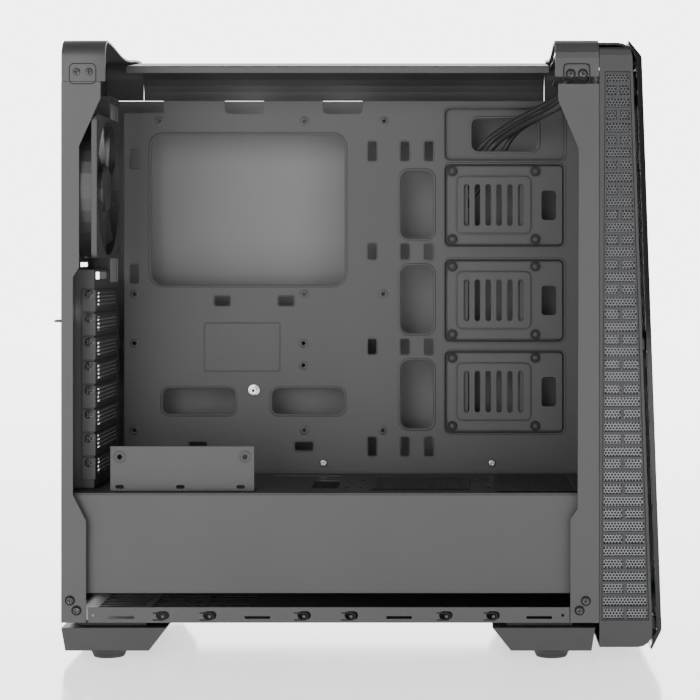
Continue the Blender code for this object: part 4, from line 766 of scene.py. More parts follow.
def make_screws():
    size = sizes()
    radius = size.screw_radius
    heads = [pan_head(radius, size.screw_height, centre, axis) for centre, axis in screw_places()]
    piece("case_screws", heads, "screw", "chassis")

    cover_x, flange_y, _ = low("slot_cover_1")
    covers = []
    for k in range(1, 9):
        spot = (cover_x + 0.0064, flange_y, middle(f"slot_cover_{k}")[2] + 0.0052)
        covers += washer_head(0.0038, 0.0026, spot, LEFTWARD)
    piece("slot_screws", covers, "screw", "chassis")

    eyelet = [(0.0036, -0.0002), (0.0037, 0.0004), (0.0046, 0.0005), (0.0052, 0.0002), (0.0053, -0.0002)]
    eyelet.append(eyelet[0])
    across, down = BRACKET_HOLE
    x, z = middle("pump_bracket")[0], high("pump_bracket")[2] - down
    spots = [(x + side, low("pump_bracket")[1], z) for side in (-across, across)]
    rings = [revolved(eyelet, 28, LEFTWARD, spot) for spot in spots]
    piece("bracket_rings", rings, "steel", "chassis")

    # A dark ring round each left screw head: painted shade where the head meets the sheet.
    shade_ring = [(0.0001, -0.0002), (0.0003, 0.0003), (0.0010, 0.0003), (0.0012, -0.0002), (0.0001, -0.0002)]
    shade_ring = [(radius + wider, up) for wider, up in shade_ring]
    left = [centre for centre, axis in screw_places() if axis == LEFTWARD]
    shade_rings = [revolved(shade_ring, 28, LEFTWARD, centre) for centre in left]
    piece("screw_shade_rings", shade_rings, "dark", "chassis")

    spots = [(low("motherboard_tray")[0] + x, TRAY_Y, TRAY_TOP - TRAY_SCREW_DOWN) for x in TRAY_SCREWS]
    recessed = [pan_head(0.0034, 0.0014, spot, LEFTWARD) for spot in spots]
    piece("tray_screws", recessed, "zinc", "chassis")


# Tray ----------------------------------------------------------------------------------

# Cut-outs that have a pressed rim: rear edge, depth below the tray's top, length, height, radius.
RIMMED = (
    (0.0501, 0.0310, 0.1755, 0.1358, 0.011),
    (0.2767, 0.0636, 0.0292, 0.0610, 0.007), (0.2767, 0.1498, 0.0292, 0.0610, 0.007),
    (0.2767, 0.2361, 0.0292, 0.0610, 0.007),
    (0.0606, 0.2617, 0.0649, 0.0223, 0.0055), (0.1598, 0.2617, 0.0649, 0.0223, 0.0055),
)
LEAD_CUTOUT = (0.3417, 0.0158, 0.0596, 0.0290, 0.006)
# Small slots for cable ties, in columns and one by one: rear edge, depth, length, height.
TIE_SLOTS = [
    (x, down, 0.0074, height)
    for x in (0.2469, 0.2767, 0.2984)
    for down, height in ((0.0371, 0.0169), (0.1299, 0.0136), (0.2164, 0.0135), (0.3055, 0.0167))
] + [
    (0.0308, 0.0449, 0.0076, 0.0163), (0.0308, 0.1487, 0.0076, 0.0166),
    (0.1807, 0.3099, 0.0160, 0.0075), (0.0844, 0.3099, 0.0160, 0.0075),
    (0.1075, 0.1774, 0.0137, 0.0083), (0.1656, 0.1774, 0.0137, 0.0083),
]
STANDOFF_SPOTS = (
    (0.0571, 0.0182), (0.1893, 0.0182), (0.2614, 0.0182), (0.0347, 0.1752), (0.1888, 0.1752),
    (0.2607, 0.1752), (0.0347, 0.2201), (0.1882, 0.2201), (0.1882, 0.2400), (0.0347, 0.2991),
    (0.1890, 0.2991), (0.2604, 0.2991),
)


def on_tray(loop, y):
    return np.column_stack([loop[:, 0], np.full(len(loop), y), loop[:, 1]])


def tray_rim(x, down, length, height, radius, bead, offset=0.0, y=TRAY_Y):
    """A bead round a rounded rectangle whose upper rear corner is at x, down from the tray's top."""
    loop = rounded_loop(
        REAR + x - offset, TRAY_TOP - down - height - offset,
        REAR + x + length + offset, TRAY_TOP - down + offset, radius + offset,
    )
    return carried(on_tray(loop, y), rim_profile(*bead), LEFTWARD, closed=True)


# Places of rims that have no cut-out in RIMMED, and widths and heights of the fine beads.
LABEL_FRAME = (0.0983, 0.2015, 0.0685, 0.0440, 0.002)
LEAD_RECESS = (0.3168, 0.0068, 0.1086, 0.0468, 0.0045)
RECESS_DEPTH = 0.0045
RECESS_BEAD, TIE_BEAD, LABEL_BEAD = (0.0016, 0.0004), (0.0012, 0.0004), (0.0012, 0.0003)
DRIVE_RECESS_GAP = 0.0012


def make_tray_details():
    size = sizes()
    pressed = (size.rim_width, size.rim_height)
    rims = [tray_rim(*place, pressed, 0.0014) for place in RIMMED]
    rims.append(tray_rim(*LEAD_CUTOUT, pressed, 0.0014, TRAY_Y + RECESS_DEPTH))
    rims.append(tray_rim(*LABEL_FRAME, LABEL_BEAD))
    rims.append(tray_rim(*LEAD_RECESS, RECESS_BEAD, 0.0010))
    gap = DRIVE_RECESS_GAP
    for k in (1, 2, 3):
        lower, upper = low(f"drive_tray_{k}"), high(f"drive_tray_{k}")
        length, _, height = upper - lower + 2 * gap
        x, down = lower[0] - gap - REAR, TRAY_TOP - upper[2] - gap
        rims.append(tray_rim(x, down, length, height, 0.0045, RECESS_BEAD, 0.0010))
    rims += [tray_rim(*place, 0.0012, TIE_BEAD, 0.0006) for place in TIE_SLOTS]
    piece("tray_rims", rims, "inner_steel", "chassis")

    ring = [(0.0018, 0.0), (0.0019, 0.0004), (0.0026, 0.0005), (0.0036, 0.0003), (0.0042, 0.0)]
    ring += [(0.0042, -0.0003), (0.0018, -0.0003), (0.0018, 0.0)]
    spots = [(REAR + x, TRAY_Y, TRAY_TOP - down) for x, down in STANDOFF_SPOTS]
    bosses = [revolved(ring, 20, LEFTWARD, spot) for spot in spots]
    piece("standoff_bosses", bosses, "inner_steel", "chassis")

    x, _, z = middle("centre_standoff")
    washer = [(0.0024, 0), (0.0052, 0), (0.0052, 0.0004), (0.0046, 0.0006), (0.0024, 0.0006), (0.0024, 0)]
    seat = revolved(washer, 28, LEFTWARD, (x, TRAY_Y, z))
    piece("standoff_washer", [seat], "zinc", "chassis")


PLATE_DEPTH, PAD_RISE = 0.0022, 0.0014
PAD_INSET, PAD_LENGTH, PAD_HEIGHT = 0.0097, 0.0666, 0.0513
GROMMET_INSET, GROMMET_SPAN, GROMMET_RISE = 0.0054, 0.0753, 0.0309


def make_drive_trays():
    """Rims round each tray's pad and plate, and a rubber grommet with a screw at each corner."""
    grommet = [(0.0017, 0), (0.0017, 0.0006), (0.0026, 0.0010), (0.0040, 0.0008), (0.0043, 0), (0.0017, 0)]
    fine = rim_profile(0.0012, 0.0003), rim_profile(0.0011, 0.0003)
    for k in (1, 2, 3):
        node = f"drive_tray_{k}"
        lower, upper = low(node), high(node)
        plate_y, centre_z = lower[1] + PLATE_DEPTH, middle(node)[2]
        pad_x, pad_z = lower[0] + PAD_INSET, centre_z - 0.02545
        pad = rounded_loop(pad_x, pad_z, pad_x + PAD_LENGTH, pad_z + PAD_HEIGHT, 0.005)
        low_edge, high_edge = lower[[0, 2]] + 0.0007, upper[[0, 2]] - 0.0007
        edge = rounded_loop(*low_edge, *high_edge, 0.0034)
        patches = [
            carried(on_tray(pad, plate_y - PAD_RISE), fine[0], LEFTWARD, closed=True),
            carried(on_tray(edge, plate_y), fine[1], LEFTWARD, closed=True),
        ]
        piece(f"drive_tray_rims_{k}", patches, "steel", node)
        x = lower[0] + GROMMET_INSET
        spots = [
            (x + along, lower[1], centre_z + up)
            for along in (0, GROMMET_SPAN) for up in (-GROMMET_RISE, GROMMET_RISE)
        ]
        grommets = [revolved(grommet, 24, LEFTWARD, spot) for spot in spots]
        screws = [pan_head(0.0023, 0.0008, spot, LEFTWARD) for spot in spots]
        piece(f"drive_grommets_{k}", grommets, "rubber", node)
        piece(f"drive_screws_{k}", screws, "screw", node)


# Perforated sheets ---------------------------------------------------------------------


def round_clamp(radius):
    """Moves points outside a circle onto it."""

    def clamp(points):
        reach = np.linalg.norm(points, axis=-1, keepdims=True)
        return np.where(reach > radius, points * radius / np.maximum(reach, 1e-9), points)

    return clamp


GRILLE_RADIUS = 0.0572


def make_rear_grille():
    """A hexagonal finger guard in the rear wall, over the fan."""
    size = sizes()
    fan = middle("rear_fan_frame")
    radius, thickness = GRILLE_RADIUS, 0.0008

    def place(flat, level):
        x = np.full(flat.shape[:2], REAR_WALL + SHEET / 2 - level)
        return np.stack([x, fan[1] + flat[..., 0], fan[2] + flat[..., 1]], -1)

    pitch, web = size.grille_pitch, size.grille_web
    reach = radius + pitch
    bounds = ((-reach, -reach), (reach, reach))
    patch = honeycomb(round_clamp(radius), bounds, pitch, web, thickness, place)
    piece("rear_fan_grille", [patch], "steel", "chassis")


SCREEN_GAP, SCREEN_WALL = 0.0009, 0.0003


def make_side_meshes():
    """Fine hexagonal mesh behind each side grille, cut to its slanted edge, and a nylon screen."""
    size = sizes()
    for side in ("left", "right"):
        node = f"side_mesh_{side}"
        lower, upper = low(node), high(node)
        points = np.array([vert.co for vert in NODES[node].data.vertices])
        top = points[points[:, 2] > upper[2] - 1e-4]
        foot = points[points[:, 2] < lower[2] + 1e-4]

        def edge_at(z, pick, top=top, foot=foot, lower=lower, upper=upper):
            share = (z - lower[2]) / (upper[2] - lower[2])
            return pick(foot[:, 0]) + (pick(top[:, 0]) - pick(foot[:, 0])) * share

        def clamp(flat, lower=lower, upper=upper, edge_at=edge_at):
            z = np.clip(flat[..., 1], lower[2], upper[2])
            x = np.clip(flat[..., 0], edge_at(z, np.min), edge_at(z, np.max))
            return np.stack([x, z], -1)

        y = (lower[1] + upper[1]) / 2

        def place(flat, level, y=y):
            return np.stack([flat[..., 0], np.full(flat.shape[:2], y + level), flat[..., 1]], -1)

        bounds = ((lower[0] - size.mesh_pitch, lower[2]), (upper[0] + size.mesh_pitch, upper[2]))
        patch = honeycomb(clamp, bounds, size.mesh_pitch, size.mesh_web, 0.0006, place)
        mesh = piece(f"side_mesh_sheet_{side}", [patch], "mesh", "front_panel")
        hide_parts(node)
        z = np.array([lower[2], upper[2]])
        x = np.stack([edge_at(z, np.min), edge_at(z, np.max)], -1)
        screen_y = y - math.copysign(SCREEN_GAP, y)
        sheet = np.stack(np.broadcast_arrays(x, screen_y, z[:, None]), -1)
        piece(f"side_screen_{side}", [grid(sheet)], "felt", "front_panel", wall=SCREEN_WALL)


VENT_PITCH, VENT_WEB, VENT_SHEET = 0.0062, 0.0015, 0.0005
# Perforated fields: rear and left edge, front and right edge, from the rear and the left side.
VENT_FIELDS = ((0.2550, 0.036, 0.3380, 0.130), (0.3607, 0.018, 0.4300, 0.160))


def make_shroud_vents():
    """Two perforated fields on the shroud's top, each over a black well, and the rounded fold."""
    top = SHROUD_TOP
    sheets, shade_slabs = [], []
    for rear, left, front, right in VENT_FIELDS:
        low_corner, high_corner = (REAR + rear, LEFT + left), (REAR + front, LEFT + right)

        def clamp(flat, low_corner=low_corner, high_corner=high_corner):
            return np.clip(flat, low_corner, high_corner)

        def place(flat, level):
            z = np.full(flat.shape[:2], top + VENT_SHEET + level)
            return np.stack([flat[..., 0], flat[..., 1], z], -1)

        bounds = (low_corner, high_corner)
        sheets.append(honeycomb(clamp, bounds, VENT_PITCH, VENT_WEB, VENT_SHEET, place))
        # Painted shade: a thin black slab under each field, seen through its holes.
        shade_slabs.append(softened_box((*low_corner, top - 0.0002), (*high_corner, top + 0.00015), 0.0001, 2))
    piece("shroud_vents", sheets, "steel", "chassis")
    rear, left, _ = low("psu_shroud")
    y, z = left + 0.0006, top - 0.0004
    fold = np.linspace([rear + 0.001, y, z], [high("psu_shroud")[0] - 0.001, y, z], 12)
    bead = carried(fold, circle(0.0009, 12), UPWARD)
    piece("shroud_fold", [bead], "steel", "chassis")
    piece("shroud_vent_shade", shade_slabs, "dark", "chassis")


# Fan -----------------------------------------------------------------------------------


HUB_RADIUS, HUB_ROUND = 0.0205, 0.003
BLADE_ROOT_OVERLAP = 0.001
CHORD_POWER, CAMBER, BLADE_HALF = 1.15, 0.0012, 0.0007


def make_fan():
    """Swept blades on a domed hub.

    A blade is a grid of share (root to tip) and chord. Its angle turns with the share and, by a
    sweep that narrows to the tip, with the chord. Its depth rises with the chord, plus a camber."""
    count = sizes().blades
    lower, upper = low("rear_fan_rotor"), high("rear_fan_rotor")
    centre = middle("rear_fan_frame")
    root, tip = HUB_RADIUS - BLADE_ROOT_OVERLAP, (upper[1] - lower[1]) / 2
    share, chord = np.meshgrid(np.linspace(0, 1, 14), np.linspace(0, 1, 12), indexing="ij")
    radius = root + (tip - root) * share
    front, back = lower[0] + 0.002, upper[0] - 0.001
    x = front + (back - front) * chord**CHORD_POWER + CAMBER * np.sin(math.pi * chord)
    thick = np.sin(math.pi * np.clip(chord, 0.02, 0.98)) ** 0.5 * (1 - 0.4 * share) * BLADE_HALF
    patches = []
    for k in range(count):
        sweep = np.radians(40 - 12 * share)
        angle = TAU * k / count + np.radians(14) * share + sweep * (chord - 0.5)
        y, z = centre[1] + radius * np.cos(angle), centre[2] + radius * np.sin(angle)
        upper_face, under_face = (np.stack([x + lift, y, z], -1) for lift in (thick, -thick))
        ring = np.concatenate([upper_face, under_face[:, ::-1]], 1)
        ends = [np.repeat(end.mean(1, keepdims=True), ring.shape[1], 1) for end in (ring[:1], ring[-1:])]
        blade = np.concatenate([ends[0], ring, ends[1]])
        patches.append(outward(grid(blade, wrap_columns=True)))
    length, inner = upper[0] - lower[0], HUB_RADIUS - HUB_ROUND
    arc = np.linspace(0, math.pi / 2, 6)
    rounded = [(inner + HUB_ROUND * math.cos(s), length - HUB_ROUND * (1 - math.sin(s))) for s in arc]
    profile = [(0, 0), (HUB_RADIUS - 0.0006, 0), (HUB_RADIUS, 0.0006), *rounded]
    profile += [(0.012, length), (0.0115, length - 0.0003), (0, length - 0.0003)]
    patches.append(revolved(profile, 64, (1, 0, 0), (lower[0], centre[1], centre[2])))
    rotor = piece("fan_wheel", patches, "fan", "fan_rotor")
    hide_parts("rear_fan_rotor")


# Leads ---------------------------------------------------------------------------------

LEAD_Y = TRAY_Y + 0.0115
LOOP_Y = LEAD_Y + 0.020
TURN_DOWN = 0.3240
THIN_R = 0.0024
USB_R = 0.0032
LEADS = {
    "switch": (THIN_R, 0.3090, 0.1900, [
        (0.4230, -0.0280, -0.0102), (0.4228, -0.0278, -0.0050), (0.4190, -0.0130, 0.0000),
        (0.4080, 0.0080, 0.0060), (0.3950, 0.0240, 0.0120), (0.3810, 0.0400, 0.0190),
        (0.3680, 0.0550, 0.0265), (0.3580, 0.0650, 0.0330), (0.3510, 0.0710, 0.0395),
        (0.3450, 0.0740, 0.0470), (0.3330, 0.0740, 0.0680), (0.3180, 0.0740, 0.0900),
        (0.3100, 0.0740, 0.1120), (0.3090, 0.0740, 0.1300),
    ]),
    "usb": (USB_R, 0.3170, 0.2450, [
        (0.4230, -0.0060, -0.0102), (0.4230, -0.0058, -0.0050), (0.4190, 0.0020, 0.0070),
        (0.4080, 0.0130, 0.0140), (0.3960, 0.0280, 0.0190), (0.3840, 0.0440, 0.0245),
        (0.3740, 0.0580, 0.0300), (0.3670, 0.0680, 0.0345), (0.3615, 0.0730, 0.0395),
        (0.3555, 0.0745, 0.0480), (0.3450, 0.0740, 0.0660), (0.3290, 0.0740, 0.0900),
        (0.3185, 0.0740, 0.1130), (0.3170, 0.0740, 0.1300),
    ]),
    "audio": (THIN_R, 0.3250, 0.2000, [
        (0.4230, 0.0380, -0.0102), (0.4228, 0.0380, -0.0050), (0.4190, 0.0385, 0.0060),
        (0.4110, 0.0400, 0.0120), (0.4010, 0.0440, 0.0170), (0.3920, 0.0500, 0.0215),
        (0.3850, 0.0570, 0.0260), (0.3795, 0.0650, 0.0310), (0.3750, 0.0710, 0.0370),
        (0.3700, 0.0740, 0.0460), (0.3590, 0.0740, 0.0650), (0.3420, 0.0740, 0.0870),
        (0.3280, 0.0740, 0.1110), (0.3250, 0.0740, 0.1300),
    ]),
}


def lead_route(name):
    """The lead's own points, then its run down behind the tray, the turn and the run back up."""
    _, run_x, end_down, route = LEADS[name]
    centre, half = (LEAD_Y + LOOP_Y) / 2, (LOOP_Y - LEAD_Y) / 2
    points = [(x, y + LEAD_Y - 0.074, z) for x, y, z in route]
    before_turn = TURN_DOWN - 0.012
    points += [(run_x, LEAD_Y, 0.2000), (run_x, LEAD_Y, before_turn)]
    for t in (-1.2, -0.4, 0.4, 1.2):
        points.append((run_x, centre + half * math.sin(t), TURN_DOWN + half * math.cos(t)))
    points += [(run_x, LOOP_Y, down) for down in (before_turn, end_down + 0.030, end_down)]
    return [(REAR + x, y, TRAY_TOP - z) for x, y, z in points]


ROUTE_STEP, WEAVES_PER_STEP = 0.0024, 0.9
NEVER_ALONG = (1, 0.1, 0.05)  # a direction that no stretch of a lead follows
GRIP_SHARES, GRIP_PROUD, GRIP_BEAD = (0.2, 0.32, 0.44), 0.0003, 0.0005


def sleeve(path, radius):
    """A round sleeve along a route, and its map: turns along the route, and the share around."""
    sides = 16
    patch = carried(path, circle(radius, sides), NEVER_ALONG)
    rings = len(path) + 2
    along = np.repeat(np.linspace(0, len(path) * WEAVES_PER_STEP, rings), sides)
    around = np.tile(np.linspace(0, 1, sides, endpoint=False), rings)
    return patch, np.stack([along, around], 1)


def make_leads():
    """A sleeve along each lead's route, and a plug shell with grip ridges on its end."""
    for name, (radius, _, _, _) in LEADS.items():
        patch, uv = sleeve(smooth_route(lead_route(name), ROUTE_STEP), radius)
        lead = piece(f"{name}_sleeve", [patch], "sheath", "chassis", uv=uv)
        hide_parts(f"{name}_lead")
        lower, upper = low(f"{name}_plug"), high(f"{name}_plug")
        loop = rounded_loop(*(lower[:2] - GRIP_PROUD), *(upper[:2] + GRIP_PROUD), 0.001, 5)
        patches = [softened_box(lower, upper, 0.0009)]
        for share in GRIP_SHARES:
            level = np.full(len(loop), lower[2] + (upper[2] - lower[2]) * share)
            ridge = np.column_stack([loop, level])
            patches.append(carried(ridge, circle(GRIP_BEAD, 8), UPWARD, closed=True))
        plug = piece(f"{name}_plug_shell", patches, "socket", "chassis")
        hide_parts(f"{name}_plug")


# Ports and buttons ---------------------------------------------------------------------


BUTTONS = {"power": 0.008, "reset": 0.0035}  # radius of each cap
USB_PINS = 4


def make_usb_insides(node, top):
    """A tongue, its contacts and the rim of one socket."""
    lower, upper = low(node), high(node)
    x0, x1, y = lower[0] + 0.0020, upper[0] - 0.0020, (lower[1] + upper[1]) / 2
    near, far = (x0, y + 0.0004, lower[2] + 0.0015), (x1, y + 0.0022, upper[2] - 0.0005)
    tongue = softened_box(near, far, 0.0003, 3)
    contacts, pin_top = [], upper[2] - 0.0012
    for pin in range(USB_PINS):
        x = x0 + (x1 - x0) * (pin + 0.5) / USB_PINS
        near, far = (x - 0.0005, y + 0.00025, lower[2] + 0.003), (x + 0.0005, y + 0.0005, pin_top)
        contacts.append(softened_box(near, far, 0.0001, 2))
    loop = rounded_loop(*(lower[:2] + 0.0002), *(upper[:2] - 0.0002), 0.0006)
    path = np.column_stack([loop, np.full(len(loop), top)])
    return tongue, contacts, carried(path, rim_profile(0.0008, 0.0002), UPWARD, closed=True)


def make_ports():
    """Tongues and contacts in the USB sockets, rings in the audio jacks, rims round the openings."""
    top = high("io_panel")[2]
    tongues, contacts, rims = [], [], []
    for k in (1, 2):
        tongue, pins, rim = make_usb_insides(f"usb_port_{k}", top)
        tongues.append(tongue)
        contacts += pins
        rims.append(rim)
    ring = [(0.0018, -0.002), (0.0018, -0.0005), (0.0024, 0.0), (0.0031, 0.0003), (0.0036, 0.0)]
    ring += [(0.0036, -0.0004), (0.0018, -0.0020)]
    for k in (1, 2):
        x, y, _ = middle(f"audio_jack_{k}")
        rims.append(revolved(ring, 32, UPWARD, (x, y, top)))
    piece("usb_tongues", tongues, "socket", "chassis")
    piece("usb_contacts", contacts, "contact", "chassis")
    piece("port_rims", rims, "plastic", "chassis")
    for name, radius in BUTTONS.items():
        node = f"{name}_button"
        (x, y, _), crown = middle(node), high(node)[2]
        dish = [(0, -0.0002), (0.55, -0.0004), (0.78, -0.0002), (0.9, 0.0002), (0.97, 0.0)]
        face = [(radius * share, up) for share, up in dish]
        face += [(radius * 0.995, -0.0006), (radius * 0.995, -0.0124), (0, -0.0124)]
        cap = revolved(face, 64, UPWARD, (x, y, crown))
        button = piece(f"{name}_cap", [cap], "gloss", node)
        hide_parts(node)
        seat = [(0.0006, 0), (0.0008, 0.0003), (0.0014, 0.0003), (0.0018, 0), (0.0012, -0.0003)]
        seat = [(radius + wider, up) for wider, up in (*seat, seat[0])]
        ring = revolved(seat, 64, UPWARD, (x, y, top))
        piece(f"{name}_ring", [ring], "ring", "chassis")


# Thumbscrews ---------------------------------------------------------------------------


KNURL_SIDES, KNURL_DEPTH = 144, 0.05
HEAD_LENGTH, SHANK_SHARE, SHANK_LENGTH = 0.0070, 0.385, 0.0052
DRIVER_SLOT = (0.0007, 0.0012)  # half its width, and its depth


def make_thumbscrews():
    """Knurled heads: two points out and two in round the head, with a driver slot."""
    angle = np.linspace(0, TAU, KNURL_SIDES, endpoint=False)
    length = HEAD_LENGTH
    profile = [(share, length) for share in (0, 0.55, 0.7, 0.86)]
    profile += [(0.97, length - 0.0006), (1, length - 0.0012), (1, 0.0012), (0.97, 0.0006)]
    profile += [(0.8, 0), (0.4, 0), (SHANK_SHARE, 0), (SHANK_SHARE, -SHANK_LENGTH), (0, -SHANK_LENGTH)]
    profile = np.array(profile)
    knurl = 1 - KNURL_DEPTH * (np.arange(KNURL_SIDES) % 4 > 1)
    reach = np.where(profile[:, :1] > 0.96, knurl, 1.0)
    half_slot, slot_depth = DRIVER_SLOT
    for name in ("lower", "upper"):
        node = f"side_thumbscrew_{name}"
        lower, upper = low(node), high(node)
        _, centre_y, centre_z = middle(node)
        size = profile[:, :1] * (upper[1] - lower[1]) / 2 * reach
        x, y = size * np.cos(angle), size * np.sin(angle)
        z = np.repeat(profile[:, 1:], KNURL_SIDES, 1)
        z = np.where((np.abs(y) < half_slot) & (z > length - 0.0003), z - slot_depth, z)
        points = turned(np.stack([x, y, z], -1), REARWARD, (lower[0] + length, centre_y, centre_z))
        patch = outward(grid(points, wrap_columns=True))
        screw = piece(f"thumbscrew_{name}", [patch], "zinc", f"{name}_thumbscrew")
        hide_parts(node)


# Caps ----------------------------------------------------------------------------------

CAP_WALL = 0.002
CAP_ROUND = 0.016
CAP_CROWN = 0.006
CROWN_REACH = 0.094
CAP_EASE = 0.0007
POCKET = (0.0068, CAP_BOTTOM - 0.006, 0.0288, CAP_BOTTOM + 0.0108)


def crown(y, top):
    """Height over the width: lowest on the middle line, and up by the crown near both sides."""
    share = np.minimum(np.abs(y) / CROWN_REACH, 1)
    return top - CAP_CROWN * (0.5 + 0.5 * np.cos(math.pi * share))


def cap_section(top, left_foot, right_foot, pull):
    """Upright sides, quarter-round shoulders and the crown between them, as rows of (y, z)."""
    half, radius = -LEFT - pull, CAP_ROUND - pull
    reach = half - radius
    turn = np.linspace(math.pi, math.pi / 2, 12)
    shoulder = np.stack([-reach + radius * np.cos(turn), top - pull - radius + radius * np.sin(turn)], 1)
    flat = np.linspace(-reach, reach, 49)[1:-1]
    upright = np.linspace([-half, left_foot], shoulder[0], 6)[:-1]
    other = shoulder[::-1] * (-1, 1)
    down = np.linspace(other[-1], [half, right_foot], 6)[1:]
    return np.concatenate([upright, shoulder, np.stack([flat, crown(flat, top - pull)], 1), other, down])


def make_rear_cap():
    """The rear cap: its section carried along x with eased ends, an inner skin, and the rear wall."""
    node = "rear_cap"
    start, end = low(node)[0], high(node)[0]
    top, foot, far_foot = high(node)[2], low(node)[2], high("rear_post")[2] + 0.0004
    turn = np.linspace(0, math.pi / 2, 4)
    pulls, steps = CAP_EASE * (1 - np.sin(turn)), CAP_EASE * (1 - np.cos(turn))
    rows = [(start + step, pull) for step, pull in zip(steps, pulls)]
    rows += [(end - step, pull) for step, pull in zip(steps[::-1], pulls[::-1])]
    rows += [(end - 0.0001, CAP_WALL), (start + 0.0001, CAP_WALL)]
    loops = []
    for x, pull in rows:
        section = cap_section(top, foot, far_foot, pull)
        loops.append(np.column_stack([np.full(len(section), x), section]))
    shell = outward(grid(np.stack(loops), wrap_rows=True))
    section = cap_section(top, foot, far_foot, CAP_WALL - 0.0002)
    floor = np.column_stack([section[:, 0], np.full(len(section), far_foot)])
    x = start + 0.0006
    corners = ((x - 0.0005, section), (x - 0.0005, floor), (x + 0.0005, floor), (x + 0.0005, section))
    wall = [np.column_stack([np.full(len(flat), depth), flat]) for depth, flat in corners]
    sheet = outward(grid(np.stack(wall), wrap_rows=True))
    cap = piece("rear_cap_shell", [shell, sheet], "steel", "chassis", angle=40)
    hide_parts(node)


def make_caps():
    """The rear cap's shell, and a dark line round the screw pocket of each cap."""
    make_rear_cap()
    rear, foot, front, top = POCKET
    lines = []
    for node in ("rear_cap", "front_cap"):
        x = low(node)[0]
        loop = rounded_loop(x + rear, foot, x + front, top, 0.004)
        path = on_tray(loop, LEFT + 0.0001)
        lines.append(carried(path, rim_profile(0.0009, 0.0002), LEFTWARD, closed=True))
    piece("pocket_shadow_lines", lines, "dark", "chassis")


# Rail, feet and posts ------------------------------------------------------------------


SLOT_OFFSETS = (0.0840, 0.1229, 0.2011, 0.2400, 0.3190, 0.3579)
SLOT_REACH, SLOT_BEND, SLOT_HALF = 0.0082, 0.0030, 0.0029


def make_rail_slots():
    """Pressed hook slots along the bottom rail: dark U-shaped grooves, each with a dimple."""
    turn = np.linspace(-math.pi / 2, math.pi / 2, 14)
    z = low("bottom_rail")[2] + 0.0052
    dimple = [(0, 0.0002), (0.0011, 0.0003), (0.0016, 0), (0, 0)]
    slot_shadows, dimples = [], []
    for offset in SLOT_OFFSETS:
        x = REAR + offset
        bend = np.column_stack([x + SLOT_BEND * np.cos(turn), z + SLOT_HALF * np.sin(turn)])
        ends = [[[x - SLOT_REACH, bend[k, 1]]] for k in (0, -1)]
        line = on_tray(np.concatenate([ends[0], bend, ends[1]]), LEFT + 0.0001)
        slot_shadows.append(carried(line, rim_profile(0.0013, 0.00025), LEFTWARD))
        dimples.append(revolved(dimple, 16, LEFTWARD, (x, LEFT, z)))
    piece("rail_slots", slot_shadows, "dark", "chassis")
    piece("rail_dimples", dimples, "steel", "chassis")


def make_pads():
    """A grip ring on each rubber pad's side, and a shallow hollow in its face."""
    for node in ("rear_pad_left", "rear_pad_right", "front_pad_left", "front_pad_right"):
        foot, height = low(node)[2], high(node)[2] - low(node)[2]
        x, y, _ = middle(node)
        profile = [(0, 0.0008), (0.0090, 0.0008), (0.0098, 0), (0.0124, 0), (0.0128, 0.0004)]
        profile += [(0.0139, height * 0.38), (0.0137, height * 0.44), (0.0145, height * 0.56)]
        profile += [(0.0163, height - 0.0006), (0.0160, height), (0, height)]
        skin = revolved(profile, 56, UPWARD, (x, y, foot))
        pad = piece(f"{node}_skin", [skin], "rubber", "chassis")
        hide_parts(node)


# Frame finishes ------------------------------------------------------------------------


def coat_frame():
    """Gives each frame node that stays in view its finish."""
    covers = [f"slot_cover_{k}" for k in range(1, 9)]
    trays = [f"drive_tray_{k}" for k in (1, 2, 3)]
    coat("inner_steel", "motherboard_tray", "rear_panel", "front_wall", "floor_pan")
    coat("side", "right_side_panel")
    coat("steel", "rear_post", "front_post", "bottom_rail", "psu_shroud", "pump_bracket")
    coat("steel", "slot_door", *trays)
    coat("steel", "rear_cap", "front_cap", "top_panel")
    coat("cover", *covers)
    coat("plastic", "front_bezel", "side_grille_left", "side_grille_right", "rear_foot", "front_foot")
    coat("plastic", "io_panel", "lead_clip_1", "lead_clip_2")
    coat("fan", "rear_fan_frame")
    coat("cloth", "front_dust_filter", "psu_dust_filter")
    coat("gloss", "front_plate")
    coat("socket", "usb_port_1", "usb_port_2", "audio_jack_1", "audio_jack_2")
    coat("board", "io_board")
    coat("zinc", "centre_standoff")


# Stage ---------------------------------------------------------------------------------

VIEW_X = REAR + 0.3268
VIEW_Z = 0.3308
VIEW_DISTANCE = 1.760
VIEW_SHIFT = (-0.15143, -0.12857)
LENS = 109.4
FRONT_SKY = 0.55
BACK_SKY = 5.0
CEILING_SHARE = 0.12
FLOOR_GLOW = 1.2
FLOOR_COLOUR = (0.95, 0.95, 0.95)
FLOOR_ACROSS, FLOOR_ALONG = (-6, 6), (-6, 9)
# Soft lights, all in front of the open side: place, aim, width, height, watts.
LIGHTS = {
    "key": ((-0.9, -2.3, 0.9), (0, 0, 0.25), 1.5, 1.5, 34),
    "fill": ((1.5, -2.0, 0.7), (0.05, 0, 0.25), 1.2, 1.6, 16),
    "strip": ((0.05, -1.7, 0.06), (0.05, 0, 0.2), 1.6, 0.3, 4),
}


def make_floor():
    """A wide flat sheet, near white, with a faint reflection."""
    white = (1, 1, 1, 1)
    paint = Paint("pale_floor", FLOOR_COLOUR, 0.14, Emission_Color=white, Emission_Strength=FLOOR_GLOW)
    x, y = np.meshgrid(np.linspace(*FLOOR_ACROSS, 3), np.linspace(*FLOOR_ALONG, 3), indexing="ij")
    vertices, faces = grid(np.stack([x, y, np.zeros_like(x)], -1))
    mesh = bpy.data.meshes.new("floor")
    mesh.from_pydata(vertices.tolist(), [], faces.tolist())
    mesh.polygons.foreach_set("use_smooth", np.ones(len(faces), dtype=bool))
    mesh.materials.append(paint.link(Roughness=0.10 + paint.noise(3, 2) * 0.05))
    floor = bpy.data.objects.new("floor", mesh)
    bpy.context.scene.collection.objects.link(floor)


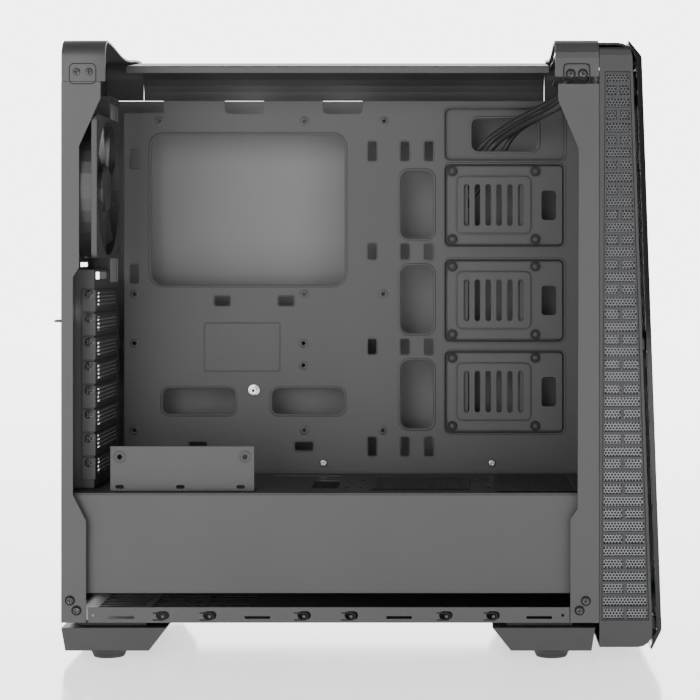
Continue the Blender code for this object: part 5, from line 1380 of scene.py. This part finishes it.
def area_light(name, place, aim, width, height, power):
    light = bpy.data.lights.new(name, "AREA")
    light.shape = "RECTANGLE"
    light.size, light.size_y = width, height
    light.energy = power
    lamp = bpy.data.objects.new(name, light)
    lamp.location = place
    lamp.rotation_euler = (Vector(aim) - Vector(place)).to_track_quat("-Z", "Y").to_euler()
    bpy.context.scene.collection.objects.link(lamp)


def make_camera():
    """A long lens that looks square on at the open side."""
    camera = bpy.data.cameras.new("camera")
    camera.lens, camera.sensor_width = LENS, 36
    camera.shift_x, camera.shift_y = VIEW_SHIFT
    camera.clip_start, camera.clip_end = 0.05, 50
    view = bpy.data.objects.new("camera", camera)
    view.location = (VIEW_X, LEFT - VIEW_DISTANCE, VIEW_Z)
    view.rotation_euler = (math.pi / 2, 0, 0)
    bpy.context.scene.collection.objects.link(view)
    bpy.context.scene.camera = view


def studio_world():
    """A bright backdrop behind the object, a dimmer studio in front, and a dark ceiling."""
    world = bpy.data.worlds.new("studio")
    world.use_nodes = True
    tree = world.node_tree
    sky = Nodes(tree)
    way = sky.add("ShaderNodeTexCoord", {}, {}, "Generated")
    behind = sky.spread(sky.axis("Y", way), -0.1, 0.3, FRONT_SKY, BACK_SKY)
    ceiling = sky.spread(sky.axis("Z", way), 0.35, 0.75, 1.0, CEILING_SHARE)
    backdrop = tree.nodes["Background"]
    backdrop.inputs["Color"].default_value = (1, 1, 1, 1)
    sky.feed(backdrop.inputs["Strength"], behind * ceiling)
    return world


def make_stage():
    """The floor, the camera, the studio's light from all round, and the soft lights in front."""
    make_floor()
    make_camera()
    bpy.context.scene.world = studio_world()
    for name, settings in LIGHTS.items():
        area_light(name, *settings)


# Operators -----------------------------------------------------------------------------


def operator(name, label, words, action):
    """An Operator class that runs one making function."""

    def execute(self, context):
        action()
        return {"FINISHED"}

    fields = {"bl_idname": f"tower.{name}", "bl_label": label, "__doc__": words, "execute": execute}
    return type(f"TOWER_OT_{name}", (bpy.types.Operator,), fields)


# Name, label, what it makes, and the function that makes it, in the order that they run.
STEPS = (
    ("stage", "Stage", "the floor, the lights and the camera", make_stage),
    ("frame", "Frame finishes", "the finishes of the frame's nodes", coat_frame),
    ("screws", "Screws", "the case, slot and tray screws", make_screws),
    ("tray", "Tray details", "the pressed rims and bosses of the board tray", make_tray_details),
    ("drive_trays", "Drive trays", "the drive trays' rims, grommets and screws", make_drive_trays),
    ("rear_grille", "Rear grille", "the guard over the rear fan", make_rear_grille),
    ("side_meshes", "Side meshes", "the meshes and screens behind the side grilles", make_side_meshes),
    ("shroud_vents", "Shroud vents", "the perforated fields on the shroud", make_shroud_vents),
    ("fan", "Fan wheel", "the rear fan's blades and hub", make_fan),
    ("leads", "Port leads", "the sleeved leads and their plugs", make_leads),
    ("ports", "Ports", "the sockets' insides and the buttons", make_ports),
    ("caps", "Caps", "the smooth rear cap and the lines round the screw pockets", make_caps),
    ("thumbscrews", "Thumbscrews", "the knurled thumbscrews", make_thumbscrews),
    ("rail_slots", "Rail slots", "the hook slots of the bottom rail", make_rail_slots),
    ("pads", "Foot pads", "the rubber foot pads", make_pads),
)
OPERATORS = [operator(name, label, f"Make {words}", action) for name, label, words, action in STEPS]


class TOWER_PT_panel(bpy.types.Panel):
    """Lists the settings and the operators in the sidebar."""

    bl_idname = "TOWER_PT_panel"
    bl_label = "Tower"
    bl_space_type = "VIEW_3D"
    bl_region_type = "UI"
    bl_category = "Tower"

    def draw(self, context):
        for group in (context.scene.tower_finishes, context.scene.tower_sizes):
            for name in group.__annotations__:
                self.layout.prop(group, name)
        for made in OPERATORS:
            self.layout.operator(made.bl_idname)


CLASSES = [TowerFinishes, TowerSizes, *OPERATORS, TOWER_PT_panel]


def register():
    for made in CLASSES:
        bpy.utils.register_class(made)
    bpy.types.Scene.tower_finishes = PointerProperty(type=TowerFinishes)
    bpy.types.Scene.tower_sizes = PointerProperty(type=TowerSizes)


def unregister():
    del bpy.types.Scene.tower_sizes
    del bpy.types.Scene.tower_finishes
    for made in reversed(CLASSES):
        bpy.utils.unregister_class(made)


def main():
    register()
    for made in OPERATORS:
        getattr(bpy.ops.tower, made.bl_idname.split(".")[1])()


if __name__ == "__main__":
    main()
